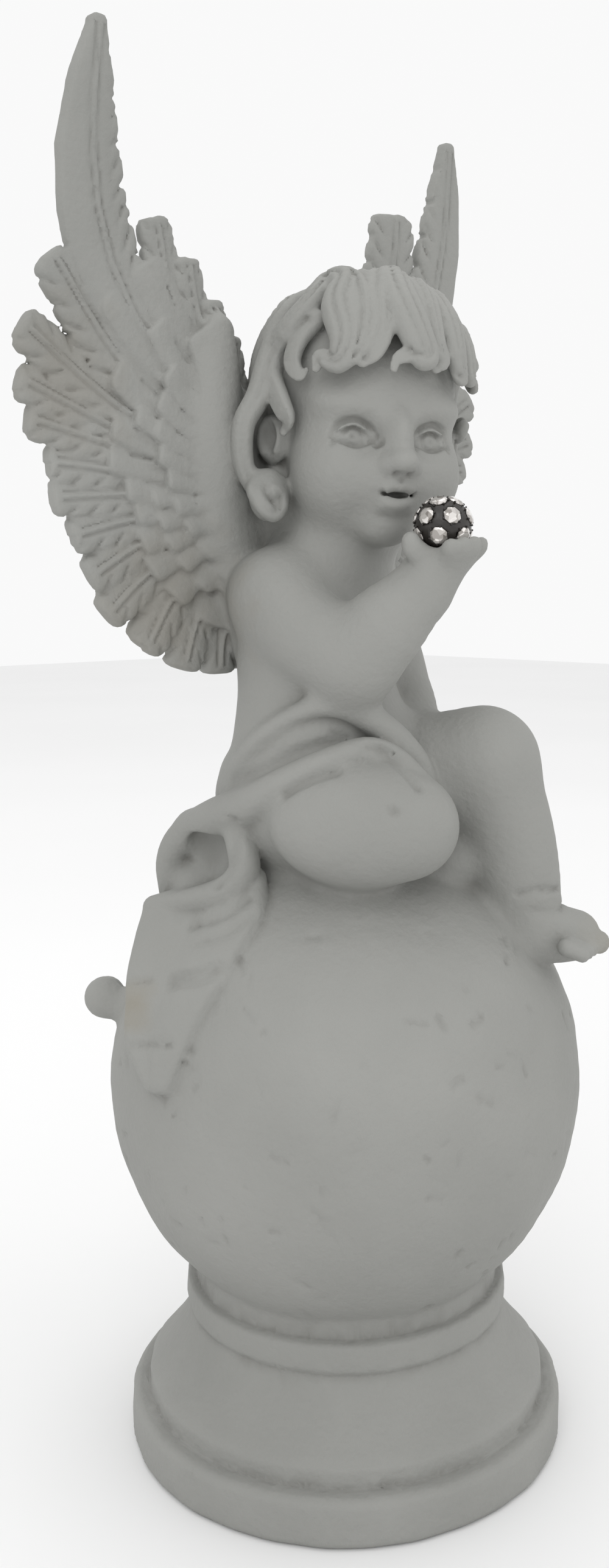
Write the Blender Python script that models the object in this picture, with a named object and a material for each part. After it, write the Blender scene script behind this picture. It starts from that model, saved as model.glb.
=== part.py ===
"""A cast cherub seated on a ball over a turned plinth, with a jewelled bead in its raised hand.

The figure faces -Y and +Z is up. The origin is the centre of the plinth's underside.
Lengths are written in millimetres and become metres as each mesh is made.
"""

import math

import bmesh
import bpy
from mathutils import Matrix, Vector

MM = 0.001

# Turned plinth, from the ground up
SLAB_RADIUS = 37.6
SLAB_HEIGHT = 7.3
STEP_RADIUS = 34.5
STEP_HEIGHT = 2.9
FLARE_TOP_RADIUS = 27.2
FLARE_HEIGHT = 10.8
FLARE_HOLLOW = 1.5
RING_RADIUS = 28.2
RING_HEIGHT = 4.8
NECK_RADIUS = 26.6
EDGE_ROUND = 0.8
TURNED_SIDES = 40

# Ball
BALL_RADIUS = 41.5
BALL_SUNK = 6.6

# Figure
HEAD_RADIUS = 19.0
HEAD_TURN = math.radians(-21)
HEAD_NOD = math.radians(4)
ARM_RADIUS = 6.2
LEG_RADIUS = 9.6
CLOTH_THICKNESS = 3.4

# Wings
WING_ROOT = Vector((8.7, 9.6, 164.0))
WING_BODY_X = -6.0
WING_ARCH = 2.4
LEFT_WING_SPREAD = 2.0
FEATHER_THICKNESS = 1.5
LAYER_STEP = 1.1
# Long feathers: degrees from upright, reach from the root, half width, and outward bow over the reach
FEATHERS = (
    (24, 83.5, 7.8, 0.13), (33, 60.0, 6.0, 0.10), (50, 54.5, 5.4, 0.05), (64, 53.0, 4.4, 0.02),
    (70, 50.5, 3.8, 0.0), (78, 46.0, 3.6, 0.0), (87, 41.0, 3.6, 0.0), (95, 39.5, 3.6, 0.0),
    (104, 37.5, 3.5, 0.0), (113, 36.5, 3.5, 0.0), (121, 36.5, 3.4, -0.02), (131, 36.0, 3.4, -0.02),
    (141, 35.5, 3.4, -0.03), (154, 35.5, 3.4, -0.03), (168, 34.5, 3.3, -0.04), (179, 33.0, 3.2, -0.04),
)

# Bead and its stones
BEAD_RADIUS = 4.65
BEAD_CENTRE = Vector((-6.9, -28.8, 156.2))
STONE_RADIUS = 1.25
STONE_PROUD = 0.35
STONE_DEPTH = 0.8
SEAT_GAP = 0.3
STONE_ROWS = ((62, 4, 20), (20, 6, 0), (-22, 6, 30))
STONE_SIDES = 8

# Fineness of the fused casting
VOXEL = 0.85
SMOOTHING = 3
FIGURE_TRIANGLES = 4800

BALL_CENTRE_Z = SLAB_HEIGHT + STEP_HEIGHT + FLARE_HEIGHT + RING_HEIGHT - BALL_SUNK + BALL_RADIUS
BALL_TOP = BALL_CENTRE_Z + BALL_RADIUS
LIFT = BALL_TOP - 102.2


def clear_scene():
    for thing in list(bpy.data.objects):
        bpy.data.objects.remove(thing, do_unlink=True)


def material(name, colour, roughness, metallic=0.0):
    made = bpy.data.materials.new(name)
    made.use_nodes = True
    shader = made.node_tree.nodes["Principled BSDF"]
    shader.inputs["Base Color"].default_value = (*colour, 1.0)
    shader.inputs["Roughness"].default_value = roughness
    shader.inputs["Metallic"].default_value = metallic
    return made


def add_object(name, mesh, finish=None):
    mesh.shade_smooth()
    made = bpy.data.objects.new(name, mesh)
    bpy.context.scene.collection.objects.link(made)
    if finish:
        mesh.materials.append(finish)
    return made


def hide_helper(helper):
    helper.hide_render = True
    helper.display_type = "WIRE"


def smooth_path(points, steps=4):
    """Points along a Catmull-Rom curve through rows of numbers, such as (x, y, z, radius)."""
    rows = [Vector(row) for row in points]
    ends = [2 * rows[0] - rows[1], *rows, 2 * rows[-1] - rows[-2]]
    path = []
    for a, b, c, d in zip(ends, ends[1:], ends[2:], ends[3:]):
        for step in range(steps):
            t = step / steps
            path.append(
                0.5
                * (2 * b + (c - a) * t + (2 * a - 5 * b + 4 * c - d) * t**2 + (3 * b - a - 3 * c + d) * t**3)
            )
    path.append(rows[-1])
    return path


def ring_points(centre, across, through, half_width, half_depth, sides):
    turns = [2 * math.pi * side / sides for side in range(sides)]
    return [
        centre + across * (half_width * math.cos(turn)) + through * (half_depth * math.sin(turn))
        for turn in turns
    ]


def loft(bm, sections, sides=12):
    """A closed skin through sections of (centre, across, half width, half depth), with rounded ends."""
    centres = [Vector(section[0]) for section in sections]
    rings = []
    for i, (centre, across, half_width, half_depth) in enumerate(sections):
        before = centres[max(i - 1, 0)]
        after = centres[min(i + 1, len(centres) - 1)]
        along = (after - before).normalized()
        side = (across - along * across.dot(along)).normalized()
        through = along.cross(side)
        wanted = [(0.0, 1.0)]
        if i == 0:
            wanted = [(-0.9, 0.44), (-0.5, 0.87), (0.0, 1.0)]
        if i == len(sections) - 1:
            wanted = [(0.0, 1.0), (0.5, 0.87), (0.9, 0.44)]
        for shift, share in wanted:
            middle = Vector(centre) + along * (shift * half_depth)
            corners = ring_points(middle, side, through, half_width * share, half_depth * share, sides)
            rings.append([bm.verts.new(corner * MM) for corner in corners])
    for low, high in zip(rings, rings[1:]):
        for k in range(sides):
            bm.faces.new((low[k], low[(k + 1) % sides], high[(k + 1) % sides], high[k]))
    bm.faces.new(list(reversed(rings[0])))
    bm.faces.new(rings[-1])


def limb(bm, rows, flat=1.0, across=(1, 0, 0), sides=12):
    """A round-ended limb through rows of (x, y, z, radius). flat is its depth as a share of its width."""
    path = smooth_path(rows)
    loft(bm, [(p[:3], Vector(across), p[3], p[3] * flat) for p in map(tuple, path)], sides)


def blob(bm, centre, radii, turn=None):
    """An ellipsoid of the body, head or hair."""
    place = Matrix.Translation(Vector(centre) * MM)
    stretch = Matrix.Diagonal(Vector((*radii, 1.0 / MM)) * MM)
    spin = (turn or Matrix.Identity(3)).to_4x4()
    bmesh.ops.create_icosphere(bm, subdivisions=4, radius=1.0, matrix=place @ spin @ stretch)


def torso(bm):
    """Belly, chest and shoulders, leaning a little forwards."""
    blob(bm, (-7.2, 0.2, 111.0), (16.8, 15.0, 13.0))
    blob(bm, (-7.4, -0.8, 122.0), (16.2, 14.6, 13.5))
    blob(bm, (-7.4, 0.8, 136.0), (15.0, 12.6, 13.0))
    limb(bm, ((-17.0, 0.5, 145.0, 6.6), (-6.5, 1.0, 147.5, 7.4), (5.0, 0.5, 145.5, 6.6)))
    limb(bm, ((-6.3, -1.0, 146.0, 10.0), (-4.2, -3.4, 160.0, 9.6)))


def raised_arm(bm):
    """The right arm, bent at the elbow, with the hand cupped under the bead."""
    elbow = (-14.8, -15.6, 133.4)
    wrist = (-8.4, -25.6, 146.0)
    limb(bm, ((-18.2, -1.6, 145.6, 7.0), (-17.6, -9.0, 138.8, ARM_RADIUS + 1.2), (*elbow, ARM_RADIUS + 0.9)))
    limb(bm, ((*elbow, ARM_RADIUS + 0.6), (-11.8, -21.4, 139.8, 6.3), (*wrist, 4.5)))
    limb(bm, ((*wrist, 4.3), (-7.4, -28.0, 149.2, 4.6)), flat=0.75)
    reach = BEAD_RADIUS + SEAT_GAP + 1.5
    for turn, lift in ((195, 2.6), (245, 1.0), (275, 0.8), (305, 0.8), (335, 1.0)):
        away = Vector((math.cos(math.radians(turn)), math.sin(math.radians(turn)), 0))
        low = BEAD_CENTRE - Vector((0, 0, reach)) + away * 1.6
        side = BEAD_CENTRE + away * (reach * 0.92) - Vector((0, 0, reach * 0.52))
        tip = BEAD_CENTRE + away * (reach * 1.0) + Vector((0, 0, lift - reach * 0.42))
        limb(bm, ((*low, 2.1), (*side, 1.8), (*tip, 1.45)), sides=8)


def resting_arm(bm):
    """The left arm, down along the belly, with the hand on the left thigh."""
    limb(bm, ((5.0, 0.6, 145.6, 6.2), (9.6, -1.0, 139.0, 5.6), (10.6, -2.6, 131.0, 5.2)))
    limb(bm, ((10.6, -2.6, 131.0, 5.1), (9.6, -6.6, 125.0, 4.6), (7.6, -11.0, 121.4, 3.4)))
    for finger in range(4):
        spread = finger * 1.9
        limb(bm, ((7.8, -11.0, 121.4, 2.2), (9.6 - spread, -15.6, 121.8 - spread * 0.3, 1.5)), sides=8)


def legs(bm):
    """The right leg is folded flat on the ball. The left knee is up and its foot hangs over the side."""
    limb(bm, ((-13.5, -3.0, 108.5 + LIFT, 10.6), (-14.4, -17.0, 106.6 + LIFT, LEG_RADIUS + 0.6),
              (-13.0, -27.0, 105.2 + LIFT, 8.6)))
    limb(bm, ((-12.0, -26.0, 102.5 + LIFT, 7.0), (-16.0, -14.0, 101.0 + LIFT, 6.6),
              (-18.5, -1.0, 99.4 + LIFT, 5.0)))
    knee = (10.3, -24.4, 116.0 + LIFT)
    limb(bm, ((-1.0, -4.0, 109.0 + LIFT, 10.4), (5.0, -14.0, 113.6 + LIFT, LEG_RADIUS), (*knee, 8.4)))
    limb(bm, ((*knee, 8.2), (13.2, -26.6, 104.0 + LIFT, 7.6), (16.4, -28.0, 91.6 + LIFT, 6.4)))
    limb(bm, ((16.6, -28.6, 88.0 + LIFT, 5.6), (19.4, -32.0, 85.4 + LIFT, 4.8),
              (21.8, -35.0, 85.6 + LIFT, 4.0)))
    for toe in range(4):
        out = toe * 1.7
        limb(bm, ((20.8 - out, -34.0 - out * 0.6, 85.2 + LIFT, 2.0),
                  (24.2 - out, -37.2 - out * 0.5, 84.4 + LIFT - toe * 0.2, 1.7 - toe * 0.1)), sides=8)


def head_frame():
    """Turns and nods the head from facing straight ahead."""
    return Matrix.Rotation(HEAD_TURN, 3, "Z") @ Matrix.Rotation(HEAD_NOD, 3, "X")


def on_head(sideways, forwards, upwards):
    centre = Vector((-1.6, -5.4, 178.4))
    return centre + head_frame() @ Vector((sideways, -forwards, upwards))


def head(bm):
    """Skull, full cheeks, chin, nose, lips and ears, to a toddler's proportions of the head's radius."""
    r = HEAD_RADIUS
    turn = head_frame()
    blob(bm, on_head(0, -0.05 * r, 0.16 * r), (0.92 * r, 1.06 * r, 1.02 * r), turn)
    blob(bm, on_head(0, 0.26 * r, -0.40 * r), (0.80 * r, 0.70 * r, 0.80 * r), turn)
    for side in (-1, 1):
        blob(bm, on_head(side * 0.38 * r, 0.50 * r, -0.56 * r), (0.42 * r, 0.40 * r, 0.42 * r), turn)
        blob(bm, on_head(side * 0.90 * r, -0.06 * r, -0.26 * r), (0.10 * r, 0.19 * r, 0.27 * r), turn)
    blob(bm, on_head(0, 0.70 * r, -0.88 * r), (0.30 * r, 0.24 * r, 0.24 * r), turn)
    blob(bm, on_head(0, 1.02 * r, -0.36 * r), (0.13 * r, 0.15 * r, 0.12 * r), turn)
    blob(bm, on_head(0, 0.97 * r, -0.22 * r), (0.09 * r, 0.10 * r, 0.20 * r), turn)
    for height in (-0.58, -0.72):
        blob(bm, on_head(0, 0.90 * r, height * r), (0.22 * r, 0.12 * r, 0.06 * r), turn)


def hair(bm):
    """A cap of hair with locks swept from the crown and curled at their ends."""
    r = HEAD_RADIUS
    turn = head_frame()
    blob(bm, on_head(0, -0.14 * r, 0.24 * r), (1.01 * r, 1.08 * r, 0.99 * r), turn)
    fringe = 9
    for lock in range(fringe):
        angle = math.radians(-76 + 152 * lock / (fringe - 1))
        side, ahead = math.sin(angle), math.cos(angle)
        wave = 0.07 * (-1) ** lock
        limb(bm, (
            (*on_head(0.30 * side * r, (0.20 + 0.25 * ahead) * r, 1.12 * r), 0.12 * r),
            (*on_head(0.78 * side * r, (0.05 + 0.80 * ahead) * r, 0.86 * r), 0.16 * r),
            (*on_head((0.99 * side + wave) * r, (-0.02 + 0.98 * ahead) * r, (0.52 + wave) * r), 0.13 * r),
            (*on_head((1.02 * side - wave) * r, 1.0 * ahead * r, (0.34 - wave) * r), 0.08 * r),
        ), flat=0.7, across=on_head(ahead, side, 0) - on_head(0, 0, 0), sides=8)
    for side in (-1, 1):
        for step in range(5):
            down = 0.62 - 0.34 * step
            back = -0.30 - 0.14 * step
            out = 0.96 - 0.05 * abs(step - 2)
            limb(bm, (
                (*on_head(side * (out - 0.1) * r, (back - 0.3) * r, (down + 0.34) * r), 0.16 * r),
                (*on_head(side * out * r, back * r, down * r), 0.17 * r),
                (*on_head(side * (out + 0.02) * r, (back + 0.24) * r, (down - 0.12) * r), 0.12 * r),
            ), sides=8)


def feather(bm, side, tilt, start, reach, half_width, bow, layer):
    """One round-tipped feather of a wing. tilt is in degrees from upright, and layer steps it forwards."""
    lean = math.radians(tilt + (LEFT_WING_SPREAD if side > 0 else 0.0))
    root = Vector((WING_BODY_X + side * WING_ROOT.x, WING_ROOT.y, WING_ROOT.z))
    out = Vector((side * math.sin(lean), 0, math.cos(lean)))
    across = Vector((side * math.cos(lean), 0, -math.sin(lean)))
    shape = ((0.0, 0.55), (0.3, 0.85), (0.55, 1.0), (0.75, 0.96), (0.88, 0.8), (0.97, 0.46))
    sections = []
    for share, width in shape:
        away = start + (reach - start) * share
        arch = WING_ARCH * math.sin(math.pi * away / FEATHERS[0][1])
        place = root + out * away + across * (bow * reach * math.sin(math.pi * share))
        place += Vector((0, arch - layer * LAYER_STEP, 0))
        sections.append((place, across, half_width * width, FEATHER_THICKNESS))
    loft(bm, sections, sides=10)


def wing(bm, side):
    """Long feathers behind two shorter rows, and the smooth arm of the wing in front."""
    for i, (tilt, reach, half_width, bow) in enumerate(FEATHERS):
        feather(bm, side, tilt, 8.0, reach, half_width, bow, 0.25 * (i % 2))
        feather(bm, side, tilt + 4, 8.0, 0.40 * reach + 10.0, half_width * 0.95, bow * 0.6, 1.6)
        feather(bm, side, tilt + 1, 5.0, 0.22 * reach + 9.0, half_width * 0.8, 0.0, 2.8)
    feather(bm, side, 23, 8.0, 55.5 + side * 7.5, 5.6, 0.06, 0.9)
    feather(bm, side, 14, 8.0, 36.0, 4.2, 0.04, 1.2)
    limb(bm, (
        (WING_BODY_X + side * 6.0, 8.0, 142.0, 5.0),
        (WING_BODY_X + side * 9.5, 7.4, 158.0, 6.2),
        (WING_BODY_X + side * 12.0, 8.2, 173.0, 6.0),
        (WING_BODY_X + side * 15.0, 9.6, 186.0, 4.2),
    ), flat=0.6)


def drapery(bm):
    """A cloth round the hips, knotted into a loop behind the right thigh, with a tail down the ball."""
    half = CLOTH_THICKNESS / 2
    limb(bm, ((6.0, 9.0, 112.0 + LIFT, 5.0), (-7.0, 11.6, 112.0 + LIFT, 5.4), (-16.0, 7.0, 114.0 + LIFT, 4.0),
              (-19.0, -6.4, 119.4 + LIFT, 3.0), (-15.6, -13.4, 120.4 + LIFT, 2.4),
              (-4.9, -21.0, 112.5 + LIFT, 2.4)))
    limb(bm, ((-21.6, 11.6, 105.0 + LIFT, 3.4), (-21.6, 1.4, 107.6 + LIFT, 3.4), (-20.4, -8.4, 111.6 + LIFT, 3.0),
              (-18.6, -16.8, 114.4 + LIFT, 2.4), (-14.6, -22.0, 114.6 + LIFT, 2.2),
              (-9.4, -25.2, 110.6 + LIFT, 2.0)))
    blob(bm, (-16.0, -2.0, 112.4 + LIFT), (9.0, 15.0, 9.0))
    limb(bm, ((-21.0, 12.0, 105.4 + LIFT, 3.2), (-22.4, 16.0, 101.0 + LIFT, 3.0), (-21.0, 17.6, 95.4 + LIFT, 2.6),
              (-24.0, 15.4, 90.0 + LIFT, 2.6)), flat=0.7)
    limb(bm, ((-19.0, 8.0, 103.0 + LIFT, 5.4), (-22.6, 3.4, 99.6 + LIFT, 4.2), (-26.0, 5.0, 95.0 + LIFT, 3.6)))
    tail = ((-20.0, 7.0, 98.6, 4.4), (-26.0, 9.0, 93.4, 8.6), (-33.0, 8.0, 86.4, 9.6),
            (-37.6, 6.8, 78.4, 7.8), (-40.4, 4.6, 71.4, 4.8), (-41.4, 2.4, 66.8, 1.8))
    sections = []
    for x, y, z, half_width in map(tuple, smooth_path(tail, 3)):
        sections.append(((x, y, z + LIFT), Vector((-0.25, 1.0, -0.3)), half_width, half))
    loft(bm, sections)
    limb(bm, ((-33.0, 27.0, 73.4 + LIFT, 3.1), (-28.6, 32.0, 72.6 + LIFT, 3.3)), flat=0.9)


def figure(finish):
    """The whole cherub fused into one skin, then thinned to a workable number of faces."""
    bm = bmesh.new()
    for build in (torso, raised_arm, resting_arm, legs, head, hair, drapery):
        build(bm)
    for side in (-1, 1):
        wing(bm, side)
    bmesh.ops.recalc_face_normals(bm, faces=bm.faces)
    mesh = bpy.data.meshes.new("cherub")
    bm.to_mesh(mesh)
    bm.free()
    made = add_object("cherub", mesh, finish)
    fuse = made.modifiers.new("Fuse", "REMESH")
    fuse.mode = "VOXEL"
    fuse.voxel_size = VOXEL * MM
    soften = made.modifiers.new("Soften", "SMOOTH")
    soften.factor = 0.5
    soften.iterations = SMOOTHING
    thin = made.modifiers.new("Thin", "DECIMATE")
    bpy.context.view_layer.update()
    soften_count = len(made.evaluated_get(bpy.context.evaluated_depsgraph_get()).data.polygons)
    thin.ratio = FIGURE_TRIANGLES / (2 * soften_count)
    return made


def plinth_profile():
    """The outline of the turned plinth and ball as (radius, height), from the top of the ball down."""
    profile = []
    neck_angle = math.asin(NECK_RADIUS / BALL_RADIUS)
    arc_steps = 19
    for step in range(arc_steps + 1):
        angle = (math.pi - neck_angle) * step / arc_steps
        profile.append((BALL_RADIUS * math.sin(angle), BALL_CENTRE_Z + BALL_RADIUS * math.cos(angle)))
    ring_low = SLAB_HEIGHT + STEP_HEIGHT + FLARE_HEIGHT
    ring_top = ring_low + RING_HEIGHT
    profile.append((NECK_RADIUS, ring_top))
    profile.append((RING_RADIUS - EDGE_ROUND, ring_top))
    profile.append((RING_RADIUS, ring_top - EDGE_ROUND))
    profile.append((RING_RADIUS, ring_low + EDGE_ROUND))
    profile.append((RING_RADIUS - EDGE_ROUND, ring_low))
    flare_low = SLAB_HEIGHT + STEP_HEIGHT
    flare_steps = 6
    for step in range(flare_steps + 1):
        drop = step / flare_steps
        radius = FLARE_TOP_RADIUS + (STEP_RADIUS - FLARE_TOP_RADIUS) * drop**FLARE_HOLLOW
        profile.append((radius, flare_low + FLARE_HEIGHT * (1 - drop)))
    profile.append((STEP_RADIUS, SLAB_HEIGHT))
    profile.append((SLAB_RADIUS - EDGE_ROUND, SLAB_HEIGHT))
    profile.append((SLAB_RADIUS, SLAB_HEIGHT - EDGE_ROUND))
    profile.append((SLAB_RADIUS, EDGE_ROUND / 2))
    profile.append((SLAB_RADIUS - EDGE_ROUND / 2, 0.0))
    profile.append((0.0, 0.0))
    return profile


def casting(finish):
    """Plinth and ball turned as one, with the cherub joined to them."""
    bm = bmesh.new()
    corners = [bm.verts.new(Vector((radius, 0, height)) * MM) for radius, height in plinth_profile()]
    edges = [bm.edges.new(pair) for pair in zip(corners, corners[1:])]
    bmesh.ops.spin(
        bm, geom=corners + edges, cent=(0, 0, 0), axis=(0, 0, 1), angle=2 * math.pi, steps=TURNED_SIDES
    )
    bmesh.ops.remove_doubles(bm, verts=bm.verts, dist=0.00001)
    bmesh.ops.recalc_face_normals(bm, faces=bm.faces)
    mesh = bpy.data.meshes.new("angel_casting")
    bm.to_mesh(mesh)
    bm.free()
    made = add_object("angel_casting", mesh, finish)
    cherub = figure(finish)
    hide_helper(cherub)
    join = made.modifiers.new("Join the cherub", "BOOLEAN")
    join.operation = "UNION"
    join.object = cherub
    hollow = made.modifiers.new("Clear the bead", "BOOLEAN")
    hollow.operation = "DIFFERENCE"
    hollow.object = ball_cutter("bead_clearance", BEAD_RADIUS + STONE_PROUD + SEAT_GAP)
    return made


def ball_cutter(name, radius):
    bm = bmesh.new()
    bmesh.ops.create_icosphere(
        bm, subdivisions=3, radius=radius * MM, matrix=Matrix.Translation(BEAD_CENTRE * MM)
    )
    mesh = bpy.data.meshes.new(name)
    bm.to_mesh(mesh)
    bm.free()
    cutter = add_object(name, mesh)
    hide_helper(cutter)
    return cutter


def stone_places():
    """Directions from the bead's centre to each stone, row by row."""
    for elevation, count, offset in STONE_ROWS:
        for k in range(count):
            turn = math.radians(offset + 360 * k / count)
            rise = math.radians(elevation)
            yield Vector((math.cos(rise) * math.cos(turn), math.cos(rise) * math.sin(turn), math.sin(rise)))


def stone_rings(bm, place, rings):
    """A cut stone, or the pit for one, from (height, radius) rings about its direction from the bead."""
    spin = place.to_track_quat("Z", "Y").to_matrix()
    turns = [2 * math.pi * k / STONE_SIDES for k in range(STONE_SIDES)]
    made = []
    for height, radius in rings:
        corners = [Vector((radius * math.cos(t), radius * math.sin(t), height)) for t in turns]
        made.append([bm.verts.new((BEAD_CENTRE + spin @ corner) * MM) for corner in corners])
    for low, high in zip(made, made[1:]):
        for k in range(STONE_SIDES):
            after = (k + 1) % STONE_SIDES
            bm.faces.new((low[k], low[after], high[after], high[k]))
    bm.faces.new(list(reversed(made[0])))
    bm.faces.new(made[-1])


def bead(dark, clear):
    """A dark ball with a pit for each stone, and the stones as separate pieces."""
    bm = bmesh.new()
    bmesh.ops.create_icosphere(
        bm, subdivisions=3, radius=BEAD_RADIUS * MM, matrix=Matrix.Translation(BEAD_CENTRE * MM)
    )
    mesh = bpy.data.meshes.new("bead_ball")
    bm.to_mesh(mesh)
    bm.free()
    ball = add_object("bead_ball", mesh, dark)
    pits = bmesh.new()
    floor = BEAD_RADIUS - STONE_DEPTH
    wide = STONE_RADIUS + SEAT_GAP
    for place in stone_places():
        stone_rings(pits, place, ((floor - SEAT_GAP, wide * 0.8), (BEAD_RADIUS + 1.0, wide)))
    mesh = bpy.data.meshes.new("stone_pits")
    pits.to_mesh(mesh)
    pits.free()
    cutter = add_object("stone_pits", mesh)
    hide_helper(cutter)
    carve = ball.modifiers.new("Pits", "BOOLEAN")
    carve.operation = "DIFFERENCE"
    carve.object = cutter
    for number, place in enumerate(stone_places(), start=1):
        bm = bmesh.new()
        crown = BEAD_RADIUS + STONE_PROUD
        stone_rings(bm, place, (
            (floor, STONE_RADIUS * 0.5), (crown - 0.45, STONE_RADIUS), (crown, STONE_RADIUS * 0.62)
        ))
        mesh = bpy.data.meshes.new(f"stone_{number:02d}")
        bm.to_mesh(mesh)
        bm.free()
        add_object(f"stone_{number:02d}", mesh, clear)


def main():
    clear_scene()
    white = material("white_cast_resin", (0.62, 0.62, 0.60), 0.75)
    dark = material("black_clay", (0.02, 0.018, 0.016), 0.45)
    clear = material("crystal_stone", (0.80, 0.78, 0.75), 0.08)
    casting(white)
    bead(dark, clear)


main()
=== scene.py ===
"""A weathered white cast cherub on a ball and turned plinth, with a jewelled bead in its raised hand.

Lengths are millimetres in the part's own frame: the figure faces -Y, +Z is up, and the origin is under
the plinth. The casting is modelled as one clay field of distances and then skinned. Pieces are made in
metres at the end.
"""

import math

import bmesh
import bpy
import numpy as np
from mathutils import Matrix, Vector


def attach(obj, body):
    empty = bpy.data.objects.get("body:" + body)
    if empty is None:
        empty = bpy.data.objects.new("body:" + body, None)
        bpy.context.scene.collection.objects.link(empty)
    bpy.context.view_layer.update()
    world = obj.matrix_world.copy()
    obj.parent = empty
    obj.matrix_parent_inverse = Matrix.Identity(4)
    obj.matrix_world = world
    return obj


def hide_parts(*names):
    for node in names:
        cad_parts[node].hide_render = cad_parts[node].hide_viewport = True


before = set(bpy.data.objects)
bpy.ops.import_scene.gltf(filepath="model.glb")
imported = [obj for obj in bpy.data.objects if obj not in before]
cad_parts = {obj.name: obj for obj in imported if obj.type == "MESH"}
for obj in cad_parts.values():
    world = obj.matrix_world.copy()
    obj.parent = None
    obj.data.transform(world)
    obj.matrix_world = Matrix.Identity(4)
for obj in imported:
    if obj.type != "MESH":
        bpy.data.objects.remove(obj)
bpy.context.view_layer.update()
MM = 0.001
SKIN_TRIANGLES = 190000
GRAIN = 1.0

# Turned plinth and ball
SLAB_RADIUS, SLAB_HEIGHT = 37.5, 7.3
STEP_RADIUS, STEP_HEIGHT = 34.5, 2.9
FLARE_TOP_RADIUS, FLARE_HEIGHT, FLARE_HOLLOW = 27.2, 10.8, 1.5
RING_RADIUS, RING_HEIGHT = 28.1, 4.8
NECK_RADIUS = 26.6
BALL_RADIUS = 41.4
BALL_Z = 60.7

BALL_PITS, PIT_SEED = 260, 11

# Camera, and the photograph's height and shift in pixels
VIEWER = np.array([-182.1, -175.8, 146.8])
VIEW_TURN, VIEW_PITCH = -46, 1.24
LENS, SENSOR = 32.14, 36.0
PHOTO_HEIGHT = 2576
SHIFT_ACROSS, SHIFT_UP = -67, -379

# Head
HEAD = np.array([-1.2, -5.8, 178.4])
HEAD_TURN = math.radians(-26)
HEAD_ROLL = math.radians(2)
SKULL = np.array([16.6, 18.6, 19.6])
SKULL_LIFT = 2.2
EYE_ASIDE, EYE_UP, EYE_RADIUS = 6.9, -7.3, 1.5
EAR_ASIDE, EAR_FLARE = 16.4, -32

# Wings
WING_ROOT_U, WING_Y, WING_ROOT_Z = 8.7, 9.6, 164.0
WING_BODY_X = -6.0
WING_ARCH = 2.4
LEFT_WING_SPREAD = 2.0
FEATHER_START, COVERT_LENGTH, COVERT_START = 8.0, 16.0, 3.0
# Feathers: degrees from upright, reach from the root, half width, and outward bow over the reach
BLADE = (24.8, 82.3, 7.0, 0.148)
FEATHERS = (
    (50, 54.3, 5.4, 0.05), (63.5, 51.9, 4.6, 0.03), (72.5, 49.0, 3.9, 0.01), (79, 45.8, 3.7, 0.0),
    (87, 41.3, 3.7, 0.0), (95, 40.3, 3.7, 0.0), (104.5, 37.8, 4.0, 0.0), (115.5, 36.8, 4.2, -0.02),
    (126.5, 37.3, 4.4, -0.02), (141.5, 35.8, 4.8, -0.03), (156, 34.8, 4.6, -0.03),
    (169.5, 33.6, 4.4, -0.04),
    (180, 32.2, 3.6, -0.04),
)
SECOND_LEFT, SECOND_RIGHT = (21.5, 61.5, 6.4, 0.09), (25, 49.5, 4.4, 0.05)
INNER = ((19, 41.5, 3.8, 0.03), (13, 33.5, 3.6, 0.02), (7, 27.0, 3.4, 0.0))
# Covert rows: height over the long feathers, then degrees from upright, reach and half width of each
COVERTS = (
    (1.2, ((31.3, 43.4, 4.7), (44.7, 42.8, 4.1), (57.5, 34.1, 3.9), (73, 30.8, 3.1), (83.5, 30.5, 3.0),
           (92.8, 27.0, 3.0), (102, 25.6, 3.0), (113.4, 25.9, 3.2), (124.5, 26.5, 3.3), (139.2, 25.8, 3.6),
           (159.6, 25.8, 3.8), (176, 24.8, 3.2))),
    (1.9, ((38, 34.0, 3.4), (66, 27.6, 2.6), (97, 22.2, 2.4), (108, 21.8, 2.5), (119, 21.6, 2.6),
           (131, 21.4, 2.7), (147, 21.4, 2.8), (167, 21.6, 2.8))),
    (2.5, ((24.7, 28.9, 3.8), (44.4, 26.8, 3.3), (56, 25.2, 2.8), (67, 23.6, 2.7), (77, 21.8, 2.6),
           (88, 19.6, 2.6), (102, 18.4, 2.6), (116.1, 17.4, 2.6), (134.3, 16.8, 2.7), (153, 17.4, 2.8),
           (173, 17.2, 2.8))),
    (3.1, ((120, 13.0, 2.0), (138, 12.6, 2.0), (158, 13.0, 2.1), (177, 13.2, 2.1))),
)

# Bead, the fingers round it as (degrees, lift, radius), and its stones in (elevation, count, start) rows
BEAD_RADIUS = 4.65
BEAD_SEAT = 0.25
FINGERS = ((165, -0.2, 1.8), (232, -1.2, 1.45), (252, -0.8, 1.45), (272, -0.6, 1.4), (296, -0.6, 1.3))
BEAD = np.array([-6.9, -28.8, 156.2])
STONE_RADIUS, STONE_PROUD, STONE_DEPTH = 1.5, 0.35, 0.8
STONE_ROWS = ((62, 4, 20), (20, 6, 0), (-22, 6, 30))
STONE_SIDES = 8
CLAW_RADIUS, CLAW_UNEVENNESS, CLAWS_PER_STONE, CLAW_SEED = 0.19, 0.22, 6, 7


# Clay


def stops(spans):
    """Grid lines through (from, to, step) spans that follow one another."""
    lines = []
    for start, end, step in spans:
        count = max(2, int(round((end - start) / (step * GRAIN))))
        lines.append(np.linspace(start, end, count, endpoint=False))
    lines.append(np.array([spans[-1][1]]))
    return np.concatenate(lines).astype(np.float32)


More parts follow.
